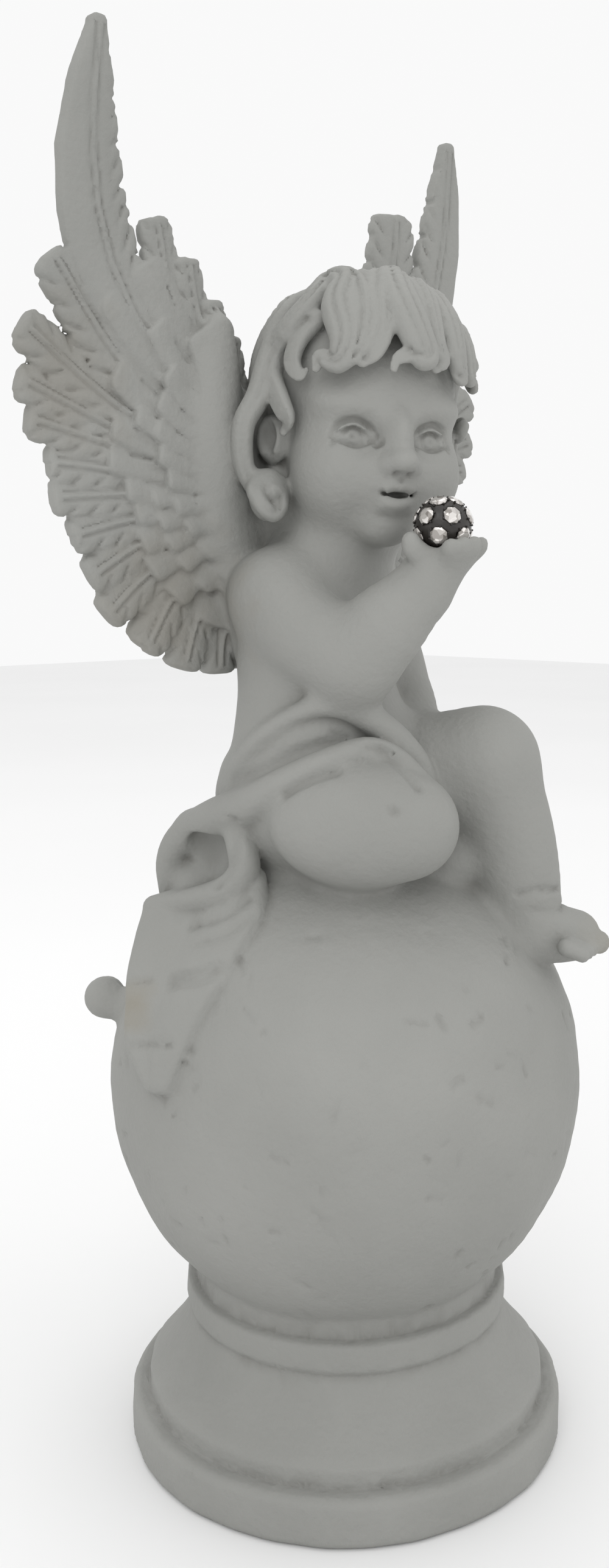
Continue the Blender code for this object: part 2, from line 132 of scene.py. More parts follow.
class Clay:
    """Distances to the surface at every crossing of the grid lines. Inside the casting they are negative."""

    def __init__(self, xs, ys, zs):
        self.axes = (xs, ys, zs)
        self.field = np.full((len(xs), len(ys), len(zs)), 60.0, dtype=np.float32)

    def window(self, low, high):
        """The part of the grid between two corners, with its x, y and z laid out to be added together."""
        cut = []
        for axis, a, b in zip(self.axes, low, high):
            first = max(0, int(np.searchsorted(axis, a)) - 1)
            last = min(len(axis), int(np.searchsorted(axis, b)) + 1)
            cut.append(slice(first, max(last, first + 1)))
        x = self.axes[0][cut[0]][:, None, None]
        y = self.axes[1][cut[1]][None, :, None]
        z = self.axes[2][cut[2]][None, None, :]
        return tuple(cut), x, y, z

    def join(self, cut, distance, blend):
        """Adds a form, with a soft seam as wide as the blend."""
        here = self.field[cut]
        if blend <= 0:
            np.minimum(here, distance, out=here)
            return
        h = np.clip(blend - np.abs(here - distance), 0, None) / blend
        self.field[cut] = np.minimum(here, distance) - h * h * blend * 0.25

    def carve(self, cut, distance, blend):
        """Takes a form away, with a soft edge as wide as the blend."""
        here = self.field[cut]
        other = -distance
        h = np.clip(blend - np.abs(here - other), 0, None) / blend
        self.field[cut] = np.maximum(here, other) + h * h * blend * 0.25

    def at(self, points):
        """Distances at free points, between the grid lines."""
        points = np.asarray(points, float)
        low, share = [], []
        for axis, values in zip(self.axes, points.T):
            k = np.clip(np.searchsorted(axis, values) - 1, 0, len(axis) - 2)
            low.append(k)
            share.append((values - axis[k]) / (axis[k + 1] - axis[k]))
        total = np.zeros(len(points))
        for corner in range(8):
            bits = [(corner >> b) & 1 for b in range(3)]
            weight = np.ones(len(points))
            for bit, s in zip(bits, share):
                weight = weight * (s if bit else 1 - s)
            total += weight * self.field[low[0] + bits[0], low[1] + bits[1], low[2] + bits[2]]
        return total


# The grid is finest about the head and the raised hand.
clay = Clay(
    stops(((-66, -22, 0.52), (-22, 19, 0.36), (19, 56, 0.52))),
    stops(((-44, -29, 0.52), (-29, 14, 0.36), (14, 44, 0.6))),
    stops(((-1, 78, 0.6), (78, 146, 0.48), (146, 204, 0.36), (204, 243, 0.5))),
)


def smooth_path(rows, steps=4):
    """Points along a Catmull-Rom curve through rows of numbers."""
    rows = np.asarray(rows, float)
    if len(rows) < 3:
        return rows
    ends = np.vstack([2 * rows[0] - rows[1], rows, 2 * rows[-1] - rows[-2]])
    path = []
    for a, b, c, d in zip(ends, ends[1:], ends[2:], ends[3:]):
        for t in np.arange(steps) / steps:
            path.append(0.5 * (2 * b + (c - a) * t + (2 * a - 5 * b + 4 * c - d) * t**2
                               + (3 * b - a - 3 * c + d) * t**3))
    path.append(rows[-1])
    return np.array(path)


def along_path(x, y, z, path, margin, flat=1.0, normal=None):
    """Distance to a chain of cones through (x, y, z, radius) rows, flattened along a direction."""
    best = np.full((x.size, y.size, z.size), 1000.0, dtype=np.float32)
    for a, b in zip(path, path[1:]):
        reach = max(a[3], b[3]) + margin
        spans = []
        for axis, values in enumerate((x.ravel(), y.ravel(), z.ravel())):
            first = int(np.searchsorted(values, min(a[axis], b[axis]) - reach))
            last = int(np.searchsorted(values, max(a[axis], b[axis]) + reach))
            spans.append(slice(first, last))
        gx, gy, gz = x[spans[0]], y[:, spans[1]], z[:, :, spans[2]]
        if min(gx.size, gy.size, gz.size) == 0:
            continue
        ab = b[:3] - a[:3]
        length2 = float(ab @ ab) + 1e-9
        px, py, pz = gx - a[0], gy - a[1], gz - a[2]
        t = np.clip((px * ab[0] + py * ab[1] + pz * ab[2]) / length2, 0, 1)
        vx, vy, vz = px - t * ab[0], py - t * ab[1], pz - t * ab[2]
        if normal is not None:
            push = (vx * normal[0] + vy * normal[1] + vz * normal[2]) * (1 / flat - 1)
            vx, vy, vz = vx + push * normal[0], vy + push * normal[1], vz + push * normal[2]
        d = np.sqrt(vx * vx + vy * vy + vz * vz) - (a[3] + t * (b[3] - a[3]))
        if normal is not None:
            d = d * (0.5 + 0.5 * flat)
        part = best[spans[0], spans[1], spans[2]]
        np.minimum(part, d.astype(np.float32), out=part)
    return best


def unit(v):
    """A vector's direction, one long."""
    v = np.asarray(v, float)
    return v / np.linalg.norm(v)


def tube(rows, blend=2.0, flat=1.0, normal=None, carve=False, steps=4):
    """Adds, or carves away, a round-ended roll of clay through (x, y, z, radius) rows."""
    path = smooth_path(rows, steps)
    margin = blend + 1.5
    reach = path[:, 3].max() + margin
    cut, x, y, z = clay.window(path[:, :3].min(0) - reach, path[:, :3].max(0) + reach)
    d = along_path(x, y, z, path, margin, flat, None if normal is None else unit(normal))
    if carve:
        clay.carve(cut, d, blend)
    else:
        clay.join(cut, d, blend)


def stroke(points, width, depth, steps=4):
    """Draws a soft groove of that half width and depth, or a raised line where depth is negative."""
    rows = np.asarray([(*p[:3], 0.0) for p in points])
    path = smooth_path(rows, steps)
    reach = width * 2.6
    cut, x, y, z = clay.window(path[:, :3].min(0) - reach, path[:, :3].max(0) + reach)
    d = along_path(x, y, z, path, reach)
    clay.field[cut] += depth * np.exp(-((d / width) ** 2))


def crease(points, width, depth):
    """A stroke laid on the skin: each point slides along the viewer's line of sight to the clay."""
    slide = np.arange(9.0, -9.0, -0.15)
    laid = []
    for point in points:
        place = np.array(point, float)
        sight = unit(VIEWER - place)
        inside = clay.at(np.array([place + sight * t for t in slide])) < 0
        if inside.any():
            place = place + sight * slide[int(np.argmax(inside))]
        laid.append(place)
    rows = smooth_path([(*p, 0.0) for p in laid], 3)[:, :3]
    stroke(rows, width, depth, 1)


def egg(centre, radii, turn=None, blend=2.5, carve=False):
    """Adds or carves an ellipsoid."""
    centre, radii = np.asarray(centre, float), np.asarray(radii, float)
    turn = np.eye(3) if turn is None else turn
    extent = np.abs(turn) @ radii + blend + 1.5
    cut, x, y, z = clay.window(centre - extent, centre + extent)
    px, py, pz = x - centre[0], y - centre[1], z - centre[2]
    local = [px * turn[0, k] + py * turn[1, k] + pz * turn[2, k] for k in range(3)]
    k0 = np.sqrt(sum((local[k] / radii[k]) ** 2 for k in range(3)))
    k1 = np.sqrt(sum((local[k] / radii[k] ** 2) ** 2 for k in range(3))) + 1e-6
    d = (k0 * (k0 - 1.0) / k1).astype(np.float32)
    if carve:
        clay.carve(cut, d, blend)
    else:
        clay.join(cut, d, blend)


# Plinth and ball


def plinth_outline():
    """Half the plinth's section, in (radius, height) points: slab, step, flare, ring and neck."""
    flare_low = SLAB_HEIGHT + STEP_HEIGHT
    ring_low = flare_low + FLARE_HEIGHT
    ring_top = ring_low + RING_HEIGHT
    outline = [(0.0, 0.0), (SLAB_RADIUS - 0.6, 0.0), (SLAB_RADIUS, 0.6), (SLAB_RADIUS, SLAB_HEIGHT - 0.9),
               (SLAB_RADIUS - 0.9, SLAB_HEIGHT), (STEP_RADIUS, SLAB_HEIGHT)]
    for drop in np.linspace(1.0, 0.0, 9):
        radius = FLARE_TOP_RADIUS + (STEP_RADIUS - FLARE_TOP_RADIUS) * drop**FLARE_HOLLOW
        outline.append((radius, flare_low + FLARE_HEIGHT * (1 - drop)))
    outline += [(RING_RADIUS - 0.4, ring_low), (RING_RADIUS, ring_low + 0.5), (RING_RADIUS, ring_top - 0.6),
                (RING_RADIUS - 0.6, ring_top), (NECK_RADIUS, ring_top), (NECK_RADIUS, 34.0), (0.0, 34.0)]
    return np.array(outline)


def outline_distance(points, r, z):
    """Signed distance to a closed outline in the half plane of radius and height."""
    best = np.full(np.broadcast(r, z).shape, 1e9)
    inside = np.zeros(best.shape, bool)
    for (ax, ay), (bx, by) in zip(points, np.roll(points, -1, axis=0)):
        ex, ey = bx - ax, by - ay
        wx, wy = r - ax, z - ay
        t = np.clip((wx * ex + wy * ey) / (ex * ex + ey * ey + 1e-12), 0, 1)
        if ax > 0 or bx > 0:
            best = np.minimum(best, (wx - t * ex) ** 2 + (wy - t * ey) ** 2)
        crosses = ((ay > z) != (by > z)) & (r < ex * (z - ay) / (ey + (ey == 0)) + ax)
        inside ^= crosses
    return np.where(inside, -1.0, 1.0) * np.sqrt(best)


def turned_base():
    """The plinth, a little out of true from the mould, with the ball standing in its neck."""
    radii = np.linspace(0, 62, 420)
    heights = clay.axes[2][clay.axes[2] < 36]
    table = outline_distance(plinth_outline(), radii[:, None], heights[None, :])
    x, y = clay.axes[0][:, None], clay.axes[1][None, :]
    r = np.sqrt(x * x + y * y)
    angle = np.arctan2(y, x)
    wobble = 0.10 * np.sin(3 * angle + 1.0) + 0.07 * np.sin(7 * angle + 2.0)
    for k in range(len(heights)):
        ragged = 0.05 * np.sin(19 * angle + 0.7 * heights[k]) + 0.04 * np.sin(31 * angle - 0.9 * heights[k])
        fine = np.interp(r + wobble + ragged, radii, table[:, k])
        clay.field[:, :, k] = np.minimum(clay.field[:, :, k], fine)
    cut, x, y, z = clay.window((-44, -44, 15), (44, 44, 104))
    d = np.sqrt(x * x + y * y + (z - BALL_Z) ** 2) - BALL_RADIUS
    lumps = np.sin(0.21 * x + 0.13 * z) * np.sin(0.17 * y + 0.3 * z + 1) * 0.16
    lumps = lumps + 0.05 * np.sin(0.9 * x + 1.1 * z) * np.sin(1.0 * y - 0.8 * z)
    clay.join(cut, (d + lumps).astype(np.float32), 0.6)


def ball_pits(count, seed):
    """Pits and short scratches left in the ball by bubbles in the mould."""
    chance = np.random.default_rng(seed)
    for _ in range(count):
        turn, rise = chance.uniform(0, 2 * math.pi), chance.uniform(-0.85, 0.75)
        flat = math.sqrt(1 - rise * rise)
        out = np.array([flat * math.cos(turn), flat * math.sin(turn), rise])
        place = np.array([0, 0, BALL_Z]) + out * BALL_RADIUS
        slide = unit(np.cross(out, chance.normal(size=3))) * chance.uniform(0.1, 1.6)
        stroke((place - slide, place + slide), chance.uniform(0.3, 0.6), chance.uniform(0.25, 0.7), 1)


# Body


def body():
    """Hips, belly, chest, shoulders and neck."""
    egg((-7.2, 0.4, 109.0), (17.0, 15.4, 13.0), blend=4)
    egg((-7.6, -1.8, 120.5), (16.0, 14.6, 12.5), blend=6)
    egg((-7.2, 0.8, 135.0), (14.8, 12.2, 13.5), blend=7)
    tube(((-16.4, 0.6, 144.6, 7.4), (-6.5, 1.0, 146.8, 8.4), (3.6, 0.6, 145.0, 7.0)), 5)
    tube(((-5.8, -1.0, 146.0, 10.2), (-3.4, -4.2, 160.0, 10.2)), 6)
    egg((-11.2, -9.6, 138.4), (5.2, 3.6, 4.6), blend=4)
    egg((-1.4, -9.8, 138.2), (5.2, 3.6, 4.6), blend=4)


def raised_arm():
    """The right arm, bent up to the chin, with the fingers round the bead."""
    elbow, wrist = (-14.6, -16.0, 134.2), (-8.9, -25.6, 145.6)
    tube(((-18.4, -1.2, 144.8, 7.6), (-18.0, -8.6, 138.6, 7.7), (*elbow, 7.4)), 4)
    tube(((*elbow, 7.2), (-12.6, -20.6, 139.4, 6.9), (*wrist, 4.9)), 2.2)
    tube(((*wrist, 4.8), (-7.9, -27.6, 149.0, 4.9)), 2, flat=0.85, normal=(0.6, 0.5, -0.6))
    wrist_crease = ((-11.6, -22.6, 148.0), (-9.8, -27.6, 145.6), (-6.2, -29.4, 144.6), (-3.4, -27.6, 145.6))
    stroke(wrist_crease, 0.45, 0.35)
    reach = BEAD_RADIUS + 1.75
    for turn, lift, thick in FINGERS:
        away = np.array([math.cos(math.radians(turn)), math.sin(math.radians(turn)), 0])
        low = BEAD - np.array([0, 0, reach + 0.4]) + away * 1.2
        side = BEAD + away * (reach * 0.86) - np.array([0, 0, reach * 0.62])
        tip = BEAD + away * (reach * 0.99) + np.array([0, 0, lift - reach * 0.36])
        tube(((*low, thick + 0.5), (*side, thick + 0.1), (*tip, thick * 0.82)), 0.7)
    egg(BEAD - np.array([0, 0, 5.6]), (4.4, 4.4, 3.0), blend=1.5)


def resting_arm():
    """The left arm, its hand lying on the thigh."""
    tube(((4.6, 0.8, 144.8, 6.8), (9.2, -0.8, 138.8, 6.0), (10.2, -2.2, 131.4, 5.5)), 4)
    tube(((10.2, -2.2, 131.4, 5.5), (9.6, -6.4, 125.6, 5.0), (7.8, -10.6, 121.8, 3.8)), 2)
    egg((7.2, -12.2, 121.2), (4.0, 3.6, 2.6), blend=2)
    for finger in range(4):
        shift = finger * 2.0
        tube(((8.4 - shift * 0.9, -12.4, 121.4, 1.7), (10.0 - shift, -15.6, 122.2 - shift * 0.25, 1.6),
              (9.8 - shift, -18.4, 121.4 - shift * 0.3, 1.3)), 0.6)


def turned(degrees):
    """A turn about the upright axis."""
    c, s = math.cos(math.radians(degrees)), math.sin(math.radians(degrees))
    return np.array([[c, -s, 0], [s, c, 0], [0, 0, 1]])


def legs():
    """The right thigh lying on the ball, and the left leg down to its foot and toes."""
    tube(((-13.0, -2.6, 108.4, 10.6), (-12.4, -14.0, 107.8, 10.2), (-9.8, -24.0, 107.2, 7.9)), 4)
    egg((-15.8, -18.0, 107.8), (14.2, 9.0, 10.0), turned(-46), blend=4)
    knee = (9.8, -24.0, 116.0)
    tube(((-1.0, -4.0, 109.4, 11.0), (4.4, -14.0, 113.4, 10.4), (*knee, 9.0)), 4)
    tube(((*knee, 8.8), (13.0, -26.2, 104.0, 8.2), (14.9, -27.2, 95.6, 7.4), (16.0, -28.2, 89.6, 6.0)), 3)
    tube(((16.2, -28.6, 88.2, 5.9), (19.0, -31.6, 86.2, 5.1), (21.6, -34.6, 85.8, 4.3)), 1.6)
    egg((16.6, -29.4, 85.8), (5.0, 5.2, 4.0), blend=2)
    stroke(((11.0, -33.0, 91.4), (16.0, -35.0, 90.6), (21.0, -31.4, 91.2), (22.4, -26.0, 92.0)), 0.55, 0.75)
    for toe in range(5):
        out = toe * 1.75
        size = 2.0 if toe == 0 else 1.55 - 0.08 * toe
        tube(((21.6 - out, -35.0 - out * 0.35, 85.4, size + 0.2),
              (24.2 - out * 1.05, -37.6 - out * 0.25, 84.6 - 0.15 * toe, size)), 0.45)
    crease(((-14.9, -24.9, 110.6), (-14.6, -25.2, 110.2)), 0.9, 0.7)
    egg((6.6, -18.6, 99.6), (6.0, 6.0, 5.0), blend=3)
    crease(((10.3, -30.8, 93.9), (12.8, -33.4, 94.7), (17.0, -34.8, 94.5)), 0.55, 1.0)


# Cloth


def fold(rows):
    """A roll of cloth."""
    tube(rows, 1.1)


def part_way(edge, share):
    """The place a share of the way along an edge."""
    return np.array([np.interp(share, np.linspace(0, 1, len(edge)), edge[:, k]) for k in range(3)])


def hanging(right, left, thick, rows):
    """A sheet between two edges, lying over the ball and rippling a little."""
    right, left = smooth_path(right, 8), smooth_path(left, 8)
    centre = np.array([0, 0, BALL_Z])
    for s in np.linspace(0, 1, rows):
        ends = [part_way(edge, s) for edge in (right, left)]
        path = []
        for t in np.linspace(0, 1, 7):
            place = ends[0] * (1 - t) + ends[1] * t
            out = unit(place - centre)
            height = max(np.linalg.norm(place - centre), BALL_RADIUS + 0.6)
            ripple = 0.5 * math.sin(9.0 * t - 3.0 * s + 0.6) * (1 - 0.5 * s)
            path.append((*(centre + out * (height + ripple)), thick))
        tube(path, 0.8, steps=1)


def cloth():
    """A cloth rolled round the hips and thigh, looped behind, with a creased tail down the ball."""
    egg((-17.0, -1.0, 110.2), (8.0, 13.6, 9.4), blend=3)
    waist_hem = (
        (7.0, 8.0, 112.0, 5.2), (-6.0, 11.4, 112.6, 5.6), (-16.0, 8.2, 113.8, 4.4),
        (-22.2, 2.8, 115.6, 2.2),
        (-23.4, -2.6, 120.8, 1.7), (-20.8, -9.0, 125.4, 1.6), (-17.0, -14.0, 126.6, 1.7),
        (-12.6, -16.8, 124.8, 2.3), (-8.4, -18.8, 121.4, 2.6), (-5.0, -21.0, 117.2, 2.3),
        (-3.8, -22.2, 114.6, 1.7),
    )
    thigh_roll = (
        (-24.4, 13.0, 104.0, 3.4), (-25.6, 4.4, 107.6, 3.4), (-25.4, -2.4, 110.2, 3.1),
        (-23.8, -9.0, 114.0, 2.7),
        (-20.2, -14.8, 117.6, 2.3), (-15.2, -19.0, 119.8, 2.0), (-11.0, -21.4, 118.6, 1.8),
        (-8.0, -24.0, 115.2, 1.6), (-6.6, -25.8, 112.4, 1.2),
    )
    loop_outside = (
        (-24.4, 13.0, 104.2, 3.2), (-25.8, 15.8, 101.4, 2.8), (-26.2, 17.2, 97.8, 2.6),
        (-26.0, 17.0, 93.4, 2.4),
    )
    loop_inside = (
        (-25.0, 2.0, 107.0, 2.4), (-25.6, -0.6, 103.0, 2.5), (-25.2, -0.8, 98.8, 2.7),
        (-26.6, 2.0, 95.4, 2.6),
        (-29.0, 8.0, 93.2, 2.2), (-30.6, 16.4, 91.2, 1.8),
    )
    for rows in (waist_hem, thigh_roll, loop_outside):
        fold(rows)
    egg((-20.6, 9.4, 98.2), (4.6, 7.6, 7.6), blend=2)
    egg((-26.2, 7.6, 101.0), (2.6, 4.4, 4.4), blend=1.0, carve=True)
    fold(loop_inside)
    tail_right = (
        (-22.6, -1.4, 97.4), (-25.6, -4.6, 93.0), (-29.4, -5.4, 88.8), (-34.4, -4.6, 82.6),
        (-38.6, -2.6, 75.2),
        (-41.2, -0.6, 67.6),
    )
    tail_left = (
        (-30.2, 16.6, 91.2), (-33.6, 14.6, 87.0), (-37.2, 12.0, 81.6), (-39.4, 9.4, 77.0),
        (-41.2, 7.2, 72.6),
        (-41.8, 2.0, 67.2),
    )
    hanging(tail_right, tail_left, 1.5, 34)
    egg((-23.0, 13.0, 94.0), (5.0, 5.0, 4.6), blend=1.5)
    for points, width, depth in (
        (((-35.7, 5.3, 81.5), (-33.0, 2.5, 82.2), (-30.4, -0.2, 83.4)), 1.1, 2.2),
        (((-25.7, -2.1, 94.4), (-28.5, 0.8, 91.7), (-31.8, 4.1, 90.2)), 0.9, 0.9),
        (((-25.0, -2.9, 92.2), (-28.2, 0.4, 88.7), (-31.3, 3.7, 87.4)), 0.8, 0.5),
        (((-39.1, 11.7, 70.1), (-38.1, 7.8, 71.2), (-36.9, 3.7, 71.6)), 0.4, 1.0),
        (((-38.1, 13.5, 80.0), (-36.7, 9.2, 81.1)), 0.4, 0.7),
        (((-21.2, -6.8, 111.8), (-19.4, -10.1, 114.1), (-16.9, -14.2, 115.7)), 0.7, 1.8),
        (((-13.5, -17.7, 119.8), (-10.7, -20.5, 118.6), (-7.5, -23.9, 113.2)), 0.7, 1.6),
        (((-16.6, -13.0, 122.2), (-15.5, -15.6, 121.4)), 0.5, 0.7),
        (((-23.5, 4.2, 113.0), (-21.3, -2.5, 115.8), (-19.1, -9.0, 119.2), (-16.3, -14.8, 121.0)), 0.9,
         0.9),
        (((-24.6, 2.4, 106.8), (-24.8, 1.2, 101.2), (-26.4, 4.3, 96.0)), 0.7, 1.4),
    ):
        crease(points, width, depth)
    # A round knob stands behind the tail.
    tube(((-31.0, 24.6, 72.6, 2.4), (-31.6, 29.0, 73.2, 3.4), (-29.0, 31.8, 72.8, 3.1)), 1.6)


# Wings


PROFILES = {
    "blade": ((0, 0.3, 0.58, 0.75, 0.9, 1.0), (0.6, 0.92, 1.0, 0.86, 0.55, 0.2)),
    "long": ((0, 0.3, 0.6, 0.85, 1.0), (0.55, 0.85, 1.0, 1.0, 0.9)),
    "covert": ((0, 0.4, 0.8, 1.0), (0.7, 0.9, 1.0, 0.94)),
}


def midrib(side, row, start, end):
    """The feather's middle line in the wing's plane, from its start to a round end short of its tip."""
    tilt, reach, _, bow = row
    lean = math.radians(tilt + (LEFT_WING_SPREAD if side > 0 else 0.0))
    out = np.array([math.sin(lean), math.cos(lean)])
    over = np.array([math.cos(lean), -math.sin(lean)])
    root = np.array((WING_ROOT_U, WING_ROOT_Z))
    line = []
    for s in np.linspace(0, 1, 9):
        along = out * (start + (reach - end - start) * s)
        line.append(root + along + over * bow * reach * math.sin(math.pi * s))
    return np.array(line)


def beside(line, u, w):
    """How far each place is from a line: straight, as a share along it, aside of it and past its end."""
    best = np.full((u.shape[0], w.shape[1]), 1e9)
    share, aside, past = np.zeros_like(best), np.zeros_like(best), np.zeros_like(best)
    for k in range(len(line) - 1):
        a, ab = line[k], line[k + 1] - line[k]
        size = np.linalg.norm(ab)
        pu, pw = u - a[0], w - a[1]
        t = np.clip((pu * ab[0] + pw * ab[1]) / (ab @ ab), 0, 1)
        du, dw = pu - t * ab[0], pw - t * ab[1]
        d2 = du * du + dw * dw
        nearer = d2 < best
        best = np.where(nearer, d2, best)
        share = np.where(nearer, (k + t) / (len(line) - 1), share)
        aside = np.where(nearer, (pu * ab[1] - pw * ab[0]) / size, aside)
        past = np.where(nearer, np.clip((du * ab[0] + dw * ab[1]) / size, 0, None), past)
    return np.sqrt(best), share, aside, past


def feather(side, row, start, layer, thick=1.25, seed=0, kind="long"):
    """One feather: a grooved shaft and barb cuts, or short cuts on a covert. layer steps it to the front."""
    _, reach, half_width, _ = row
    blade, covert = kind == "blade", kind == "covert"
    phase = np.random.default_rng(900 + seed).uniform(0, 6.28)
    spans, widths = PROFILES[kind]
    end = half_width * widths[-1]
    line = midrib(side, row, start, end)
    edge = half_width + 2.0
    low_u, low_z = line.min(0) - edge
    high_u, high_z = line.max(0) + edge
    xa, xb = WING_BODY_X + side * low_u, WING_BODY_X + side * high_u
    front = WING_Y - layer
    low = (min(xa, xb), front - thick - 3.0, low_z)
    high = (max(xa, xb), front + thick + WING_ARCH + 3.0, high_z)
    cut, x, y, z = clay.window(low, high)
    near, share, aside, past = beside(line, side * (x[:, :, 0] - WING_BODY_X), z[:, 0, :])
    across = np.abs(aside)
    away = np.where(past > 0, (across**3.6 + past**3.6) ** (1 / 3.6), near)
    length = reach - start
    run = share * (length - end) + past
    width = half_width * np.interp(share, spans, widths)
    notch = np.clip(np.sin(run * (0.95 if blade else 1.3) + phase + np.sign(aside)), 0, None) ** 7
    if blade:
        notch = notch * (aside < 0) * 1.5
    width = width * (1 - (0.0 if covert else 0.12) * notch)
    rim = away - width
    mid = np.clip(across / half_width, 0, 1)
    arch = WING_ARCH * np.sin(np.pi * np.clip((start + length * share) / BLADE[1], 0, 1))
    shingle = 0.5 * np.clip(aside / half_width, -1, 1) * (not blade)
    centre = front + arch + 0.4 * mid**2 - shingle
    if covert:
        slits = (share > 0.55) * (share < 0.9) * (aside < 0.6)
        carved = 0.55 * (np.exp(-(((across - 0.36 * half_width) / 0.3) ** 2)) * slits)
    else:
        shaft = 0.42 * np.exp(-(((across - 0.7) / 0.3) ** 2)) - 0.3 * np.exp(-((aside / 0.45) ** 2))
        barb = (0.5 + 0.5 * np.sin(run * 1.5 - across * 1.7 + phase)) ** 6
        barbed = aside * blade <= 0
        carved = shaft * (run < length - 1.6) + barb * 0.6 * np.clip((mid - 0.3) * 3.0, 0, 1) * barbed
    half = thick * (1 - 0.3 * mid**2) - carved
    slab = np.abs(y - centre[:, None, :]) - half[:, None, :]
    h = np.clip(0.7 - np.abs(slab - rim[:, None, :]), 0, None) / 0.7
    d = np.maximum(slab, rim[:, None, :]) + h * h * 0.175
    clay.join(cut, d.astype(np.float32), 0.14)


def wing_arm(side, rows, flat):
    """The smooth arm of a wing through (outwards, y, z, radius) rows."""
    rows = [(WING_BODY_X + side * out, y, z, radius) for out, y, z, radius in rows]
    tube(rows, 2.4, flat=flat, normal=(0, 1, 0))


def wing(side):
    """A wing: long feathers, the blade over them, inner feathers, four covert rows and the smooth arm."""
    for i, row in enumerate(FEATHERS):
        feather(side, row, FEATHER_START, 0.0, 1.25, seed=i)
    feather(side, BLADE, FEATHER_START, 0.5, 1.5, seed=39, kind="blade")
    feather(side, SECOND_LEFT if side > 0 else SECOND_RIGHT, FEATHER_START, 0.1, 1.3, seed=40)
    for i, row in enumerate(INNER):
        feather(side, row, FEATHER_START, 0.3, 1.2, seed=41 + i)
    for n, (layer, rows) in enumerate(COVERTS):
        for i, (tilt, reach, half_width) in enumerate(rows):
            start = max(COVERT_START, reach - COVERT_LENGTH)
            row = (tilt, reach, half_width, 0.0)
            feather(side, row, start, layer, 1.0, seed=100 + 20 * n + i, kind="covert")
    front_edge = (
        (9.0, 8.8, 138.0, 4.2), (12.6, 8.0, 151.0, 4.8), (15.6, 7.6, 162.0, 5.2), (17.0, 7.6, 173.0, 5.0),
        (17.0, 8.2, 183.0, 4.2), (16.0, 9.2, 191.0, 2.8),
    )
    wing_arm(side, front_edge, 0.6)
    wing_arm(side, ((8.0, 8.6, 150.0, 5.0), (9.6, 8.6, 164.0, 5.6), (9.6, 9.0, 176.0, 4.4)), 0.55)


# Head


def head_turn():
    """How the head is turned and rolled, as a matrix."""
    c, s = math.cos(HEAD_TURN), math.sin(HEAD_TURN)
    spin = np.array([[c, -s, 0], [s, c, 0], [0, 0, 1]])
    c, s = math.cos(HEAD_ROLL), math.sin(HEAD_ROLL)
    roll = np.array([[c, 0, s], [0, 1, 0], [-s, 0, c]])
    return spin @ roll


TURN = head_turn()


def on_head(sideways, forwards, upwards):
    """A place from the head's centre: sideways to its left, forwards out of the face, and upwards."""
    return HEAD + TURN @ np.array([sideways, -forwards, upwards])


def lump(place, radii, blend=2.0, carve=False):
    """An ellipsoid placed and turned with the head."""
    egg(on_head(*place), radii, TURN, blend, carve)


def skin(sideways, upwards, lift=0.0):
    """The face's surface, straight ahead of a point across and up from the head's centre."""
    forwards = np.arange(30.0, -2.0, -0.1)
    points = np.array([on_head(sideways, f, upwards) for f in forwards])
    inside = clay.at(points) < 0
    first = int(np.argmax(inside))
    return on_head(sideways, forwards[first] + lift, upwards)


def face_line(points, width, depth, lift=0.0):
    """A stroke through (across, up) points, laid on the face."""
    stroke([skin(s, u, lift) for s, u in points], width, depth)


